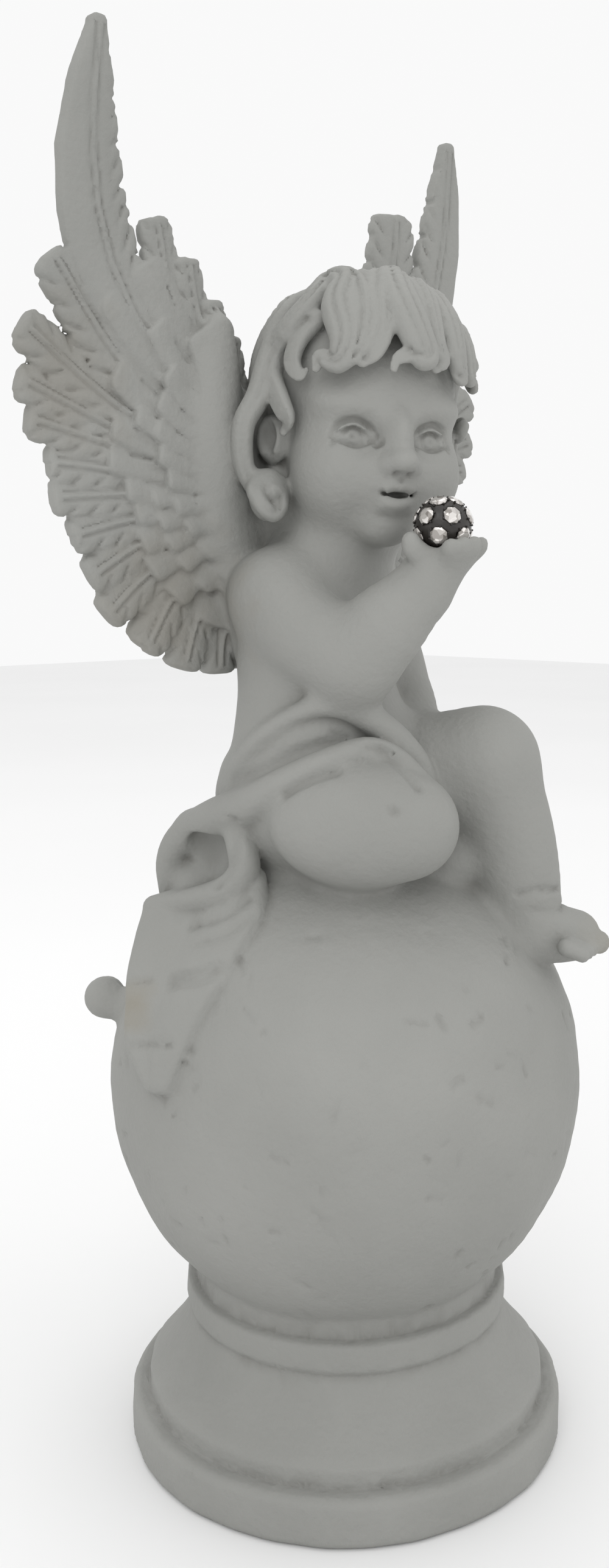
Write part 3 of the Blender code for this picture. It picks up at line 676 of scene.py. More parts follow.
def face():
    """Toddler proportions: wide eyes at the middle, full cheeks, a button nose and parted lips."""
    lump((0, -0.6, 2.0), (15.6, 17.2, 18.4), 3)
    lump((0, 4.0, -11.0), (13.8, 12.4, 12.6), 5)
    for side in (-1, 1):
        lump((side * 7.2, 8.4, -13.2), (6.6, 6.2, 6.4), 5)
        lump((side * 6.6, 10.8, -1.6), (6.0, 4.0, 2.2), 4)
    lump((0, 12.0, -21.4), (4.8, 4.0, 4.0), 3)
    lump((0, 13.8, -14.6), (5.6, 4.2, 4.6), 4)
    for side in (-1, 1):
        lump((side * 6.9, 16.6, -7.0), (4.4, 2.6, 2.8), 2.4, carve=True)
    lump((0, 15.4, -7.4), (2.2, 4.4, 5.0), 3)
    lump((0, 19.2, -11.6), (2.5, 2.5, 2.2), 1.6)
    for side in (-1, 1):
        lump((side * 2.2, 17.6, -12.2), (1.5, 1.7, 1.4), 1.2)
        lump((side * 6.8, 11.9, -7.2), (3.5, 2.5, 2.2), 0.7)
    lump((0, 16.0, -15.4), (3.2, 2.2, 1.2), 1.4)
    lump((0, 15.6, -18.6), (2.7, 2.1, 1.2), 1.2)
    lump((0, 17.4, -16.95), (1.9, 2.6, 0.55), 0.5, carve=True)
    for side in (-1, 1):
        lump((side * 3.2, 15.4, -16.8), (0.7, 1.0, 0.5), 0.8, carve=True)
        lump((side * 1.15, 19.4, -13.6), (0.55, 1.0, 0.5), 0.4, carve=True)
    face_line(((-2.9, -16.6), (-1.4, -16.9), (0, -17.1), (1.4, -16.9), (2.9, -16.7)), 0.45, 0.7)
    face_line(((-0.9, -17.0), (0.9, -17.0)), 0.8, 1.0)
    face_line(((-2.3, -16.0), (-0.9, -15.3), (0, -15.7), (0.9, -15.3), (2.3, -16.0)), 0.6, -0.55)
    face_line(((-1.7, -18.4), (0, -18.8), (1.7, -18.4)), 0.8, -0.55)
    face_line(((0, -13.6), (0, -14.8)), 0.6, 0.35)
    face_line(((-2.4, -20.4), (0, -20.9), (2.4, -20.4)), 0.8, 0.35)
    for side in (-1, 1):
        mid = side * EYE_ASIDE
        lid = [(mid - side * 3.4, -8.2), (mid - side * 2.4, -6.4), (mid, -5.3), (mid + side * 2.4, -6.2),
               (mid + side * 3.7, -8.1)]
        face_line(lid, 0.5, -0.7)
        face_line([(s, u + 0.85) for s, u in lid], 0.5, 1.5, -0.35)
        face_line([(s, u - 0.65) for s, u in lid], 0.42, 1.2, -0.3)
        face_line([(mid - side * 3.4, -8.8), (mid, -9.8), (mid + side * 3.6, -8.7)], 0.45, -0.4)
        face_line([(mid - side * 3.0, -8.2), (mid, -9.1), (mid + side * 3.2, -8.1)], 0.4, 0.8, -0.2)
        iris = [(mid + EYE_RADIUS * math.cos(a), EYE_UP + (EYE_RADIUS + 0.05) * math.sin(a))
                for a in np.linspace(0, 2 * math.pi, 11)]
        face_line(iris, 0.42, 1.1, -0.25)
        face_line([(mid, EYE_UP), (mid + 0.2, EYE_UP + 0.1)], 0.75, 1.6, -0.4)
        face_line([(mid - side * 3.9, -8.4), (mid - side * 3.6, -8.6)], 0.6, 0.8)


def ears():
    """Each ear: a cupped shell with a raised rim and a hollow."""
    for side in (-1, 1):
        flare = TURN @ turned(side * EAR_FLARE)
        middle = on_head(side * EAR_ASIDE, -0.6, -7.0)
        egg(middle, (1.7, 3.3, 4.5), flare, blend=1.3)
        outer = middle + flare @ np.array([side * 1.5, 0, 0])
        egg(outer + flare @ np.array([side * 0.3, -0.3, 0.3]), (1.1, 1.9, 2.8), flare, 0.7, carve=True)
        rim = [outer + flare @ np.array([0, 2.3 * math.cos(a), 0.2 + 3.5 * math.sin(a)])
               for a in np.linspace(-0.9, 3.9, 8)]
        stroke(rim, 0.7, -0.6)
        hollow = [outer + flare @ np.array([-side * 0.4, *drop]) for drop in ((-0.9, 0.0), (-0.6, -1.4))]
        stroke(hollow, 0.8, 0.9)


def scalp(turn, rise, off):
    """A place over the skull: turn round from the face, positive to its left, and rise from the middle."""
    a, e = math.radians(turn), math.radians(rise)
    way = np.array([math.sin(a) * math.cos(e), math.cos(a) * math.cos(e), math.sin(e)])
    size = 1 / math.sqrt(sum((way / SKULL) ** 2))
    sideways, forwards, upwards = way * (size + off)
    return on_head(sideways, forwards, upwards + SKULL_LIFT * (rise >= 0))


def lock(rows, blend=0.7, flat=0.75, grooves=2):
    """A lock of hair through (turn, rise, height over the skull, radius) rows, with strand grooves."""
    path = np.array([(*scalp(t, r, off), size) for t, r, off, size in rows])
    middle = unit(path[len(path) // 2, :3] - HEAD)
    tube(path, blend, flat=flat, normal=middle)
    fine = smooth_path(path, 4)
    for g in range(grooves):
        offset = (g + 0.5) / grooves * 2 - 1
        line = []
        for k, p in enumerate(fine):
            ahead = fine[min(k + 1, len(fine) - 1), :3] - fine[max(k - 1, 0), :3]
            sideways = np.cross(unit(ahead), unit(p[:3] - HEAD))
            line.append(p[:3] + sideways * (p[3] * 0.62 * offset) + unit(p[:3] - HEAD) * p[3] * 0.62)
        stroke(line[1:-1], 0.46, 0.6, 1)


def curl(turn, rise, off, size, hand=1):
    """A ringlet: a spiral roll with a hollow heart."""
    heart = scalp(turn, rise, off)
    out = unit(heart - HEAD)
    right = unit(np.cross(out, (0, 0, 1)))
    up = np.cross(right, out)
    rows = []
    for step in range(9):
        a = hand * step * 0.78
        radius = size * (0.72 - 0.055 * step)
        place = heart + right * radius * math.cos(a) + up * radius * math.sin(a) + out * 0.12 * step
        rows.append((*place, size * (0.36 - 0.016 * step)))
    tube(rows, 0.5)
    stroke([heart + out * size * 0.35, heart + out * size * 0.3 + up * 0.2], size * 0.26, size * 0.3, 1)


def lowered(rows):
    """A forelock's rows with its middle drawn down the forehead and its curled end left where it is."""
    return [(turn, rise - 8 * min(1, max(0, (60 - rise) / 35)) * (rise > 12), off, size)
            for turn, rise, off, size in rows]


def hair():
    """A cap of hair, with curled forelocks, ringlets by the ears and long locks swept to the back."""
    lump((0, -3.6, 5.0), (17.0, 17.6, 17.8), 2)
    lump((0, -6.6, -6.0), (15.4, 12.6, 13.0), 3)
    lump((0, -6.0, -15.0), (12.6, 9.0, 9.0), 4)
    crown = (
        ((-95, 62, 0.2, 2.6), (-66, 66, 0.9, 3.0), (-38, 56, 1.6, 3.2), (-36, 40, 2.0, 3.4),
         (-30, 26, 1.8, 3.0), (-34, 15, 1.6, 2.2), (-44, 10, 1.6, 1.4), (-46, 4, 1.6, 0.8)),
        ((-60, 74, 0.4, 2.4), (-30, 60, 1.2, 2.7), (-22, 44, 1.8, 2.6), (-21, 30, 1.6, 2.2),
         (-25, 19, 1.6, 1.6),
         (-31, 16, 1.4, 0.9)),
        ((20, 80, 0.4, 2.4), (-6, 64, 1.2, 2.6), (-13, 46, 1.9, 2.5), (-12, 32, 1.7, 2.1),
         (-16, 20, 1.5, 1.5),
         (-22, 14, 1.2, 0.8)),
        ((30, 74, 0.4, 2.6), (4, 60, 1.4, 3.0), (-1, 45, 2.2, 3.3), (3, 31, 2.2, 3.2), (8, 19, 2.0, 2.6),
         (3, 12, 1.7, 1.8), (-5, 9, 1.5, 1.1), (-7, 4, 1.3, 0.7)),
        ((52, 70, 0.4, 2.4), (26, 56, 1.4, 2.6), (17, 42, 1.9, 2.5), (16, 28, 1.7, 2.1), (21, 19, 1.5, 1.4),
         (16, 14, 1.2, 0.8)),
        ((70, 64, 0.4, 2.4), (42, 52, 1.4, 2.7), (33, 38, 2.0, 2.7), (32, 24, 1.8, 2.3), (37, 13, 1.5, 1.6),
         (32, 7, 1.2, 0.9)),
        ((92, 56, 0.3, 2.6), (64, 44, 1.2, 2.8), (52, 30, 1.7, 2.6), (50, 17, 1.6, 2.1), (55, 7, 1.4, 1.3)),
    )
    for rows in crown:
        lock(lowered(rows))
    near = (
        ((-80, 62, 0.4, 2.8), (-64, 46, 1.2, 2.9), (-72, 30, 1.8, 2.7), (-84, 18, 1.8, 2.5),
         (-82, 4, 1.8, 2.3),
         (-70, -6, 1.7, 2.0), (-66, -14, 1.5, 1.5), (-72, -20, 1.4, 0.9)),
        ((-54, 34, 0.6, 1.8), (-62, 22, 1.2, 1.9), (-64, 10, 1.3, 1.7), (-58, 2, 1.2, 1.2),
         (-54, 4, 1.0, 0.7)),
        ((-110, 54, 0.4, 3.0), (-92, 40, 1.6, 3.2), (-100, 22, 2.2, 3.0), (-108, 4, 2.2, 2.8),
         (-110, -14, 2.2, 2.6), (-106, -30, 1.8, 2.2), (-98, -38, 1.4, 1.3)),
        ((-140, 56, 0.4, 3.2), (-122, 40, 1.6, 3.6), (-124, 20, 2.2, 3.4), (-126, 0, 2.4, 3.2),
         (-124, -20, 2.4, 2.8), (-118, -38, 2.0, 2.2), (-108, -46, 1.6, 1.2)),
        ((-165, 46, 0.6, 3.2), (-150, 26, 1.6, 3.4), (-148, 4, 2.0, 3.2), (-146, -18, 2.0, 2.8),
         (-138, -36, 1.6, 1.8)),
    )
    for rows in near:
        lock(rows, grooves=3)
        behind_the_ear = rows[0][0] < -100
        if behind_the_ear:
            lock([(-turn, rise, off, size) for turn, rise, off, size in rows], grooves=3)
    long_lock = (
        (-14.8, 1.0, 190.5, 2.6), (-18.2, 0.6, 184.6, 2.5), (-20.2, 1.2, 179.0, 2.2),
        (-22.4, 2.4, 174.4, 2.0),
        (-22.4, 3.0, 169.5, 1.9), (-21.4, 2.6, 165.0, 1.6), (-20.4, 1.0, 163.6, 1.2),
    )
    low_ringlet = (
        (-20.6, 1.0, 164.2, 1.3), (-22.8, -0.6, 162.4, 1.4), (-22.6, -2.4, 159.8, 1.35),
        (-20.6, -3.0, 158.4, 1.3), (-18.8, -2.8, 159.8, 1.2), (-18.8, -2.4, 161.8, 1.1),
        (-20.2, -2.8, 162.4, 1.0),
    )
    for rows in (long_lock, low_ringlet):
        tube(rows, 0.8)
        fine = smooth_path(rows, 3)
        crease([(p[0], p[1], p[2] + 0.4) for p in fine[:, :3]][1:-1], 0.4, 0.6)
    egg((-18.6, 0.4, 162.0), (3.4, 3.4, 4.6), blend=2)
    curl(-100, -44, 1.8, 3.9)
    curl(-126, -52, 1.4, 3.4, -1)
    egg((-9.6, 3.6, 161.0), (5.6, 5.6, 8.6), blend=3)
    left_ringlets = (
        (62, 34, 3.4, 1), (67, 22, 3.7, -1), (73, 8, 3.3, 1), (90, -8, 3.2, -1), (104, -26, 3.2, 1),
        (110, -44, 3.2, -1),
    )
    for turn, rise, size, hand in left_ringlets:
        curl(turn, rise, 1.8, size, hand)
    for turn in (165, -175, 150, -158, 180):
        back_lock = (
            (turn, 70, 0.6, 3.0), (turn - 6, 44, 1.6, 3.4), (turn + 5, 16, 2.0, 3.2),
            (turn - 5, -12, 2.0, 3.0),
            (turn + 6, -34, 1.6, 2.0), (turn, -44, 1.2, 1.0),
        )
        lock(back_lock, grooves=3)
    for turn, rise in ((-30, 62), (0, 66), (-60, 58), (34, 62)):
        parting = [scalp(turn - 16, rise + 8, 2.6), scalp(turn, rise, 3.2), scalp(turn + 12, rise - 8, 3.6)]
        stroke(parting, 0.6, 0.7)


# Skin of the clay


def skin_mesh(name):
    """Turns the clay into a closed mesh: one corner in each grid cell that the surface passes through."""
    field = clay.field
    inside = field < 0
    mixed = np.zeros([n - 1 for n in field.shape], dtype=np.uint8)
    for corner in range(8):
        i, j, k = (corner >> 2) & 1, (corner >> 1) & 1, corner & 1
        mixed += inside[i:field.shape[0] - 1 + i, j:field.shape[1] - 1 + j, k:field.shape[2] - 1 + k]
    cells = np.argwhere((mixed > 0) & (mixed < 8))
    number = np.full(mixed.shape, -1, dtype=np.int32)
    number[tuple(cells.T)] = np.arange(len(cells))
    xs, ys, zs = (axis.astype(float) for axis in clay.axes)
    total = np.zeros((len(cells), 3))
    hits = np.zeros(len(cells))
    corners = [((c >> 2) & 1, (c >> 1) & 1, c & 1) for c in range(8)]
    for a in corners:
        for axis in range(3):
            if a[axis]:
                continue
            b = list(a)
            b[axis] = 1
            ia = cells + np.array(a)
            ib = cells + np.array(b)
            va, vb = field[tuple(ia.T)].astype(float), field[tuple(ib.T)].astype(float)
            cross = (va < 0) != (vb < 0)
            t = np.where(cross, va / np.where(va == vb, 1, va - vb), 0)
            pa = np.stack([xs[ia[:, 0]], ys[ia[:, 1]], zs[ia[:, 2]]], -1)
            pb = np.stack([xs[ib[:, 0]], ys[ib[:, 1]], zs[ib[:, 2]]], -1)
            total += np.where(cross[:, None], pa + (pb - pa) * t[:, None], 0)
            hits += cross
    points = total / hits[:, None]
    quads = []
    for axis in range(3):
        one = [slice(1, n - 1) for n in field.shape]
        two = list(one)
        one[axis] = slice(0, field.shape[axis] - 1)
        two[axis] = slice(1, field.shape[axis])
        flip = inside[tuple(one)] != inside[tuple(two)]
        edges = np.argwhere(flip)
        shift = np.ones(3, int)
        shift[axis] = 0
        edges = edges + shift
        others = [k for k in range(3) if k != axis]
        around = []
        for da, db in ((0, 0), (-1, 0), (-1, -1), (0, -1)):
            step = np.zeros(3, int)
            step[others[0]], step[others[1]] = da, db
            around.append(number[tuple((edges + step).T)])
        quad = np.stack(around, -1)
        outwards = inside[tuple(edges.T)]
        if axis == 1:
            outwards = ~outwards
        quad[~outwards] = quad[~outwards][:, ::-1]
        quads.append(quad)
    quads = np.concatenate(quads)
    mesh = bpy.data.meshes.new(name)
    mesh.vertices.add(len(points))
    mesh.vertices.foreach_set("co", (points * MM).astype(np.float32).ravel())
    mesh.loops.add(quads.size)
    mesh.loops.foreach_set("vertex_index", quads.astype(np.int32).ravel())
    mesh.polygons.add(len(quads))
    mesh.polygons.foreach_set("loop_start", np.arange(0, quads.size, 4, dtype=np.int32))
    mesh.update(calc_edges=True)
    mesh.validate()
    return mesh


def add_object(name, mesh, finish=None):
    made = bpy.data.objects.new(name, mesh)
    bpy.context.scene.collection.objects.link(made)
    if finish:
        mesh.materials.clear()
        mesh.materials.append(finish)
    return made


def applied(thing):
    """Replaces an object's mesh by what its modifiers make of it."""
    bpy.context.view_layer.update()
    seen = thing.evaluated_get(bpy.context.evaluated_depsgraph_get())
    mesh = bpy.data.meshes.new_from_object(seen)
    thing.modifiers.clear()
    thing.data = mesh
    return mesh


def drop_crumbs(mesh):
    """Keeps the largest connected skin and removes any loose speck."""
    bm = bmesh.new()
    bm.from_mesh(mesh)
    bm.verts.ensure_lookup_table()
    group = [-1] * len(bm.verts)
    sizes = []
    for start in bm.verts:
        if group[start.index] >= 0:
            continue
        mark = len(sizes)
        stack, count = [start], 0
        group[start.index] = mark
        while stack:
            v = stack.pop()
            count += 1
            for edge in v.link_edges:
                other = edge.other_vert(v)
                if group[other.index] < 0:
                    group[other.index] = mark
                    stack.append(other)
        sizes.append(count)
    keep = sizes.index(max(sizes))
    bmesh.ops.delete(bm, geom=[v for v in bm.verts if group[v.index] != keep], context="VERTS")
    bmesh.ops.recalc_face_normals(bm, faces=bm.faces)
    bm.to_mesh(mesh)
    bm.free()


# Finishes


def node(tree, kind, **settings):
    """A new node with its settings."""
    made = tree.nodes.new(kind)
    for key, value in settings.items():
        setattr(made, key, value)
    return made


def effect_group(name, inputs, output, output_kind):
    """An empty shader node group with named inputs of (name, kind, default) and one output."""
    group = bpy.data.node_groups.new(name, "ShaderNodeTree")
    for label, kind, default in inputs:
        socket = group.interface.new_socket(label, in_out="INPUT", socket_type=kind)
        if default is not None:
            socket.default_value = default
    group.interface.new_socket(output, in_out="OUTPUT", socket_type=output_kind)
    return group, group.nodes.new("NodeGroupInput"), group.nodes.new("NodeGroupOutput")


def grain_group():
    """Fine casting grain and brush texture as a height."""
    group, taken, given = effect_group(
        "casting_grain", (("Vector", "NodeSocketVector", None), ("Coarse", "NodeSocketFloat", 1.0)),
        "Height", "NodeSocketFloat")
    link = group.links.new
    fine = node(group, "ShaderNodeTexNoise")
    fine.inputs["Scale"].default_value = 900
    fine.inputs["Detail"].default_value = 3
    lumps = node(group, "ShaderNodeTexNoise")
    lumps.inputs["Scale"].default_value = 160
    lumps.inputs["Detail"].default_value = 4
    scaled = node(group, "ShaderNodeMath", operation="MULTIPLY")
    total = node(group, "ShaderNodeMath", operation="ADD")
    link(taken.outputs["Vector"], fine.inputs["Vector"])
    link(taken.outputs["Vector"], lumps.inputs["Vector"])
    link(lumps.outputs["Fac"], scaled.inputs[0])
    link(taken.outputs["Coarse"], scaled.inputs[1])
    link(scaled.outputs[0], total.inputs[0])
    link(fine.outputs["Fac"], total.inputs[1])
    link(total.outputs[0], given.inputs["Height"])
    return group


def crease_group():
    """A painted-shade mask: 1 in hollows and creases and 0 elsewhere, broken up by noise."""
    group, taken, given = effect_group(
        "crease_painted_shade", (("Vector", "NodeSocketVector", None), ("Reach", "NodeSocketFloat", 0.5)),
        "Mask", "NodeSocketFloat")
    link = group.links.new
    point = node(group, "ShaderNodeNewGeometry")
    hollow = node(group, "ShaderNodeMapRange")
    hollow.inputs["From Min"].default_value = 0.495
    hollow.inputs["From Max"].default_value = 0.43
    noise = node(group, "ShaderNodeTexNoise")
    noise.inputs["Scale"].default_value = 120
    noise.inputs["Detail"].default_value = 5
    mix = node(group, "ShaderNodeMath", operation="MULTIPLY")
    level = node(group, "ShaderNodeMath", operation="MULTIPLY")
    link(point.outputs["Pointiness"], hollow.inputs["Value"])
    link(taken.outputs["Vector"], noise.inputs["Vector"])
    link(hollow.outputs["Result"], mix.inputs[0])
    link(noise.outputs["Fac"], mix.inputs[1])
    link(mix.outputs[0], level.inputs[0])
    link(taken.outputs["Reach"], level.inputs[1])
    link(level.outputs[0], given.inputs["Mask"])
    return group


def spot_group():
    """A soft round mask about a place, with a ragged edge."""
    group, taken, given = effect_group(
        "soft_spot",
        (("Vector", "NodeSocketVector", None), ("Place", "NodeSocketVector", None),
         ("Size", "NodeSocketFloat", 0.01)),
        "Mask", "NodeSocketFloat")
    link = group.links.new
    away = node(group, "ShaderNodeVectorMath", operation="DISTANCE")
    share = node(group, "ShaderNodeMath", operation="DIVIDE")
    noise = node(group, "ShaderNodeTexNoise")
    noise.inputs["Scale"].default_value = 220
    rough = node(group, "ShaderNodeMath", operation="ADD")
    fade = node(group, "ShaderNodeMapRange")
    fade.inputs["From Min"].default_value = 1.5
    fade.inputs["From Max"].default_value = 0.7
    link(taken.outputs["Vector"], away.inputs[0])
    link(taken.outputs["Place"], away.inputs[1])
    link(away.outputs["Value"], share.inputs[0])
    link(taken.outputs["Size"], share.inputs[1])
    link(taken.outputs["Vector"], noise.inputs["Vector"])
    link(share.outputs[0], rough.inputs[0])
    link(noise.outputs["Fac"], rough.inputs[1])
    link(rough.outputs[0], fade.inputs["Value"])
    link(fade.outputs["Result"], given.inputs["Mask"])
    return group


GROUPS = {"grain": grain_group(), "crease": crease_group(), "spot": spot_group()}


def use_group(tree, key, vector, **values):
    """Places a shared effect in a material with its own values, and gives its output."""
    made = tree.nodes.new("ShaderNodeGroup")
    made.node_tree = GROUPS[key]
    tree.links.new(vector, made.inputs["Vector"])
    for label, value in values.items():
        made.inputs[label].default_value = value
    return made.outputs[0]


def mix_colour(tree, factor, a, b):
    """Mixes two colours, each a value or a socket."""
    mixed = node(tree, "ShaderNodeMix", data_type="RGBA")
    for socket, value in ((mixed.inputs["Factor"], factor), (mixed.inputs[6], a), (mixed.inputs[7], b)):
        if isinstance(value, (tuple, float)):
            socket.default_value = value
        else:
            tree.links.new(value, socket)
    return mixed.outputs[2]


def blank(name):
    """A new material, its node tree and its shader."""
    made = bpy.data.materials.new(name)
    made.use_nodes = True
    return made, made.node_tree, made.node_tree.nodes["Principled BSDF"]


def cast_finish():
    """Matt off-white paint on cast resin, yellowed in places, with painted shade darkening the creases and
    hollows.
    """
    made, tree, shader = blank("white_cast_resin_paint")
    link = tree.links.new
    place = node(tree, "ShaderNodeTexCoord").outputs["Object"]
    broad = node(tree, "ShaderNodeTexNoise")
    broad.inputs["Scale"].default_value = 26
    broad.inputs["Detail"].default_value = 6
    link(place, broad.inputs["Vector"])
    tone = node(tree, "ShaderNodeValToRGB")
    tone.color_ramp.elements[0].position = 0.32
    tone.color_ramp.elements[0].color = (0.262, 0.264, 0.249, 1)
    tone.color_ramp.elements[1].position = 0.70
    tone.color_ramp.elements[1].color = (0.305, 0.306, 0.290, 1)
    link(broad.outputs["Fac"], tone.inputs["Fac"])
    # Painted shade: creases and hollows are mixed towards a near-black brown to stand in for the shade that
    # falls there.
    crease = use_group(tree, "crease", place, Reach=0.85)
    colour = mix_colour(tree, crease, tone.outputs["Color"], (0.095, 0.09, 0.078, 1.0))
    for where, size, strength, stain in (
        ((-0.0405, 0.0085, 0.078), 0.0052, 0.35, (0.24, 0.20, 0.13, 1.0)),
        ((-0.054, 0.010, 0.180), 0.016, 0.30, (0.22, 0.195, 0.155, 1.0)),
        ((-0.034, 0.010, 0.142), 0.018, 0.30, (0.235, 0.205, 0.16, 1.0)),
        ((0.024, -0.0375, 0.0845), 0.006, 0.40, (0.275, 0.25, 0.195, 1.0)),
        ((-0.0015, -0.0325, 0.1535), 0.0022, 0.65, (0.33, 0.31, 0.10, 1.0)),
    ):
        level = node(tree, "ShaderNodeMath", operation="MULTIPLY")
        link(use_group(tree, "spot", place, Place=where, Size=size), level.inputs[0])
        level.inputs[1].default_value = strength
        colour = mix_colour(tree, level.outputs[0], colour, stain)
    link(colour, shader.inputs["Base Color"])
    shader.inputs["Roughness"].default_value = 0.72
    shader.inputs["Specular IOR Level"].default_value = 0.32
    bump = node(tree, "ShaderNodeBump")
    bump.inputs["Strength"].default_value = 0.28
    bump.inputs["Distance"].default_value = 0.0006
    link(use_group(tree, "grain", place, Coarse=1.4), bump.inputs["Height"])
    link(bump.outputs["Normal"], shader.inputs["Normal"])
    return made


def clay_finish():
    """Black modelling clay with a faint speckle."""
    made, tree, shader = blank("black_clay")
    link = tree.links.new
    place = node(tree, "ShaderNodeTexCoord").outputs["Object"]
    speck = node(tree, "ShaderNodeTexNoise")
    speck.inputs["Scale"].default_value = 1400
    link(place, speck.inputs["Vector"])
    tone = node(tree, "ShaderNodeValToRGB")
    tone.color_ramp.elements[0].color = (0.008, 0.007, 0.006, 1)
    tone.color_ramp.elements[1].color = (0.035, 0.030, 0.026, 1)
    link(speck.outputs["Fac"], tone.inputs["Fac"])
    link(tone.outputs["Color"], shader.inputs["Base Color"])
    shader.inputs["Roughness"].default_value = 0.38
    bump = node(tree, "ShaderNodeBump")
    bump.inputs["Strength"].default_value = 0.4
    bump.inputs["Distance"].default_value = 0.0001
    link(use_group(tree, "grain", place, Coarse=1.0), bump.inputs["Height"])
    link(bump.outputs["Normal"], shader.inputs["Normal"])
    return made


def crystal_finish():
    """Foil-backed cut glass: bright, with a grey-brown cast that changes from facet to facet."""
    made, tree, shader = blank("foiled_crystal")
    link = tree.links.new
    place = node(tree, "ShaderNodeTexCoord").outputs["Object"]
    cells = node(tree, "ShaderNodeTexVoronoi")
    cells.inputs["Scale"].default_value = 900
    link(place, cells.inputs["Vector"])
    tone = node(tree, "ShaderNodeValToRGB")
    tone.color_ramp.elements[0].color = (0.12, 0.10, 0.08, 1)
    tone.color_ramp.elements[1].color = (0.80, 0.77, 0.74, 1)
    tone.color_ramp.elements[1].position = 0.72
    link(cells.outputs["Color"], tone.inputs["Fac"])
    link(tone.outputs["Color"], shader.inputs["Base Color"])
    shader.inputs["Metallic"].default_value = 0.55
    shader.inputs["Roughness"].default_value = 0.08
    shader.inputs["Coat Weight"].default_value = 1.0
    shader.inputs["Coat Roughness"].default_value = 0.03
    return made


# Bead


def stone_ways():
    """The way each stone faces, row by row."""
    for elevation, count, offset in STONE_ROWS:
        for k in range(count):
            turn, rise = math.radians(offset + 360 * k / count), math.radians(elevation)
            yield Vector((math.cos(rise) * math.cos(turn), math.cos(rise) * math.sin(turn), math.sin(rise)))


def brilliant(name, finish):
    """A cut stone about the origin, its table facing +Z: table, star, girdle and pavilion facets."""
    bm = bmesh.new()
    sides = STONE_SIDES
    rings = []
    for drop, share, twist in ((0.0, 0.58, 0.5), (0.18, 0.84, 0.0), (0.42, 1.0, 0.5), (0.55, 1.0, 0.5)):
        radius, height = STONE_RADIUS * share, BEAD_RADIUS + STONE_PROUD - drop
        turns = [2 * math.pi * (k + twist) / sides for k in range(sides)]
        rings.append([bm.verts.new(Vector((radius * math.cos(t), radius * math.sin(t), height)) * MM)
                      for t in turns])
    foot = bm.verts.new(Vector((0, 0, BEAD_RADIUS - STONE_DEPTH)) * MM)
    bm.faces.new(rings[0])
    for high, low, shift in ((rings[0], rings[1], 1), (rings[1], rings[2], 0)):
        for k in range(sides):
            after = (k + 1) % sides
            if shift:
                bm.faces.new((high[k], low[after], high[after]))
                bm.faces.new((high[k], low[k], low[after]))
            else:
                bm.faces.new((high[k], low[k], high[after]))
                bm.faces.new((high[after], low[k], low[after]))
    for k in range(sides):
        after = (k + 1) % sides
        bm.faces.new((rings[2][k], rings[3][k], rings[3][after], rings[2][after]))
        bm.faces.new((rings[3][k], foot, rings[3][after]))
    bmesh.ops.recalc_face_normals(bm, faces=bm.faces)
    mesh = bpy.data.meshes.new(name)
    bm.to_mesh(mesh)
    bm.free()
    mesh.materials.append(finish)
    return mesh


def stone_claws(dark):
    """Small clay claws round every stone, set out by a node tree over a mesh of points."""
    points = []
    ring = STONE_RADIUS + 0.12
    for way in stone_ways():
        spin = way.to_track_quat("Z", "Y").to_matrix()
        for k in range(CLAWS_PER_STONE):
            t = 2 * math.pi * (k + 0.3) / CLAWS_PER_STONE
            spot = Vector((ring * math.cos(t), ring * math.sin(t), BEAD_RADIUS - 0.12))
            points.append((Vector(BEAD) + spin @ spot) * MM)
    mesh = bpy.data.meshes.new("claw_points")
    mesh.from_pydata(points, [], [])
    made = add_object("bead_claws", mesh)
    tree = bpy.data.node_groups.new("claws_on_points", "GeometryNodeTree")
    tree.interface.new_socket("Geometry", in_out="INPUT", socket_type="NodeSocketGeometry")
    size = tree.interface.new_socket("Claw Radius", in_out="INPUT", socket_type="NodeSocketFloat")
    wear = tree.interface.new_socket("Unevenness", in_out="INPUT", socket_type="NodeSocketFloat")
    tree.interface.new_socket("Geometry", in_out="OUTPUT", socket_type="NodeSocketGeometry")
    taken, given = tree.nodes.new("NodeGroupInput"), tree.nodes.new("NodeGroupOutput")
    link = tree.links.new
    ball = tree.nodes.new("GeometryNodeMeshIcoSphere")
    ball.inputs["Subdivisions"].default_value = 2
    link(taken.outputs["Claw Radius"], ball.inputs["Radius"])
    chance = tree.nodes.new("FunctionNodeRandomValue")
    chance.data_type = "FLOAT"
    chance.inputs["Seed"].default_value = CLAW_SEED
    low = node(tree, "ShaderNodeMath", operation="SUBTRACT")
    low.inputs[0].default_value = 1.0
    high = node(tree, "ShaderNodeMath", operation="ADD")
    high.inputs[0].default_value = 1.0
    link(taken.outputs["Unevenness"], low.inputs[1])
    link(taken.outputs["Unevenness"], high.inputs[1])
    link(low.outputs[0], chance.inputs[2])
    link(high.outputs[0], chance.inputs[3])
    placed = tree.nodes.new("GeometryNodeInstanceOnPoints")
    link(taken.outputs["Geometry"], placed.inputs["Points"])
    link(ball.outputs["Mesh"], placed.inputs["Instance"])
    link(chance.outputs[1], placed.inputs["Scale"])
    real = tree.nodes.new("GeometryNodeRealizeInstances")
    paint = tree.nodes.new("GeometryNodeSetMaterial")
    paint.inputs["Material"].default_value = dark
    link(placed.outputs["Instances"], real.inputs["Geometry"])
    link(real.outputs["Geometry"], paint.inputs["Geometry"])
    link(paint.outputs["Geometry"], given.inputs["Geometry"])
    grow = made.modifiers.new("Claws", "NODES")
    grow.node_group = tree
    grow[size.identifier] = CLAW_RADIUS * MM
    grow[wear.identifier] = CLAW_UNEVENNESS
    applied(made)
    return made


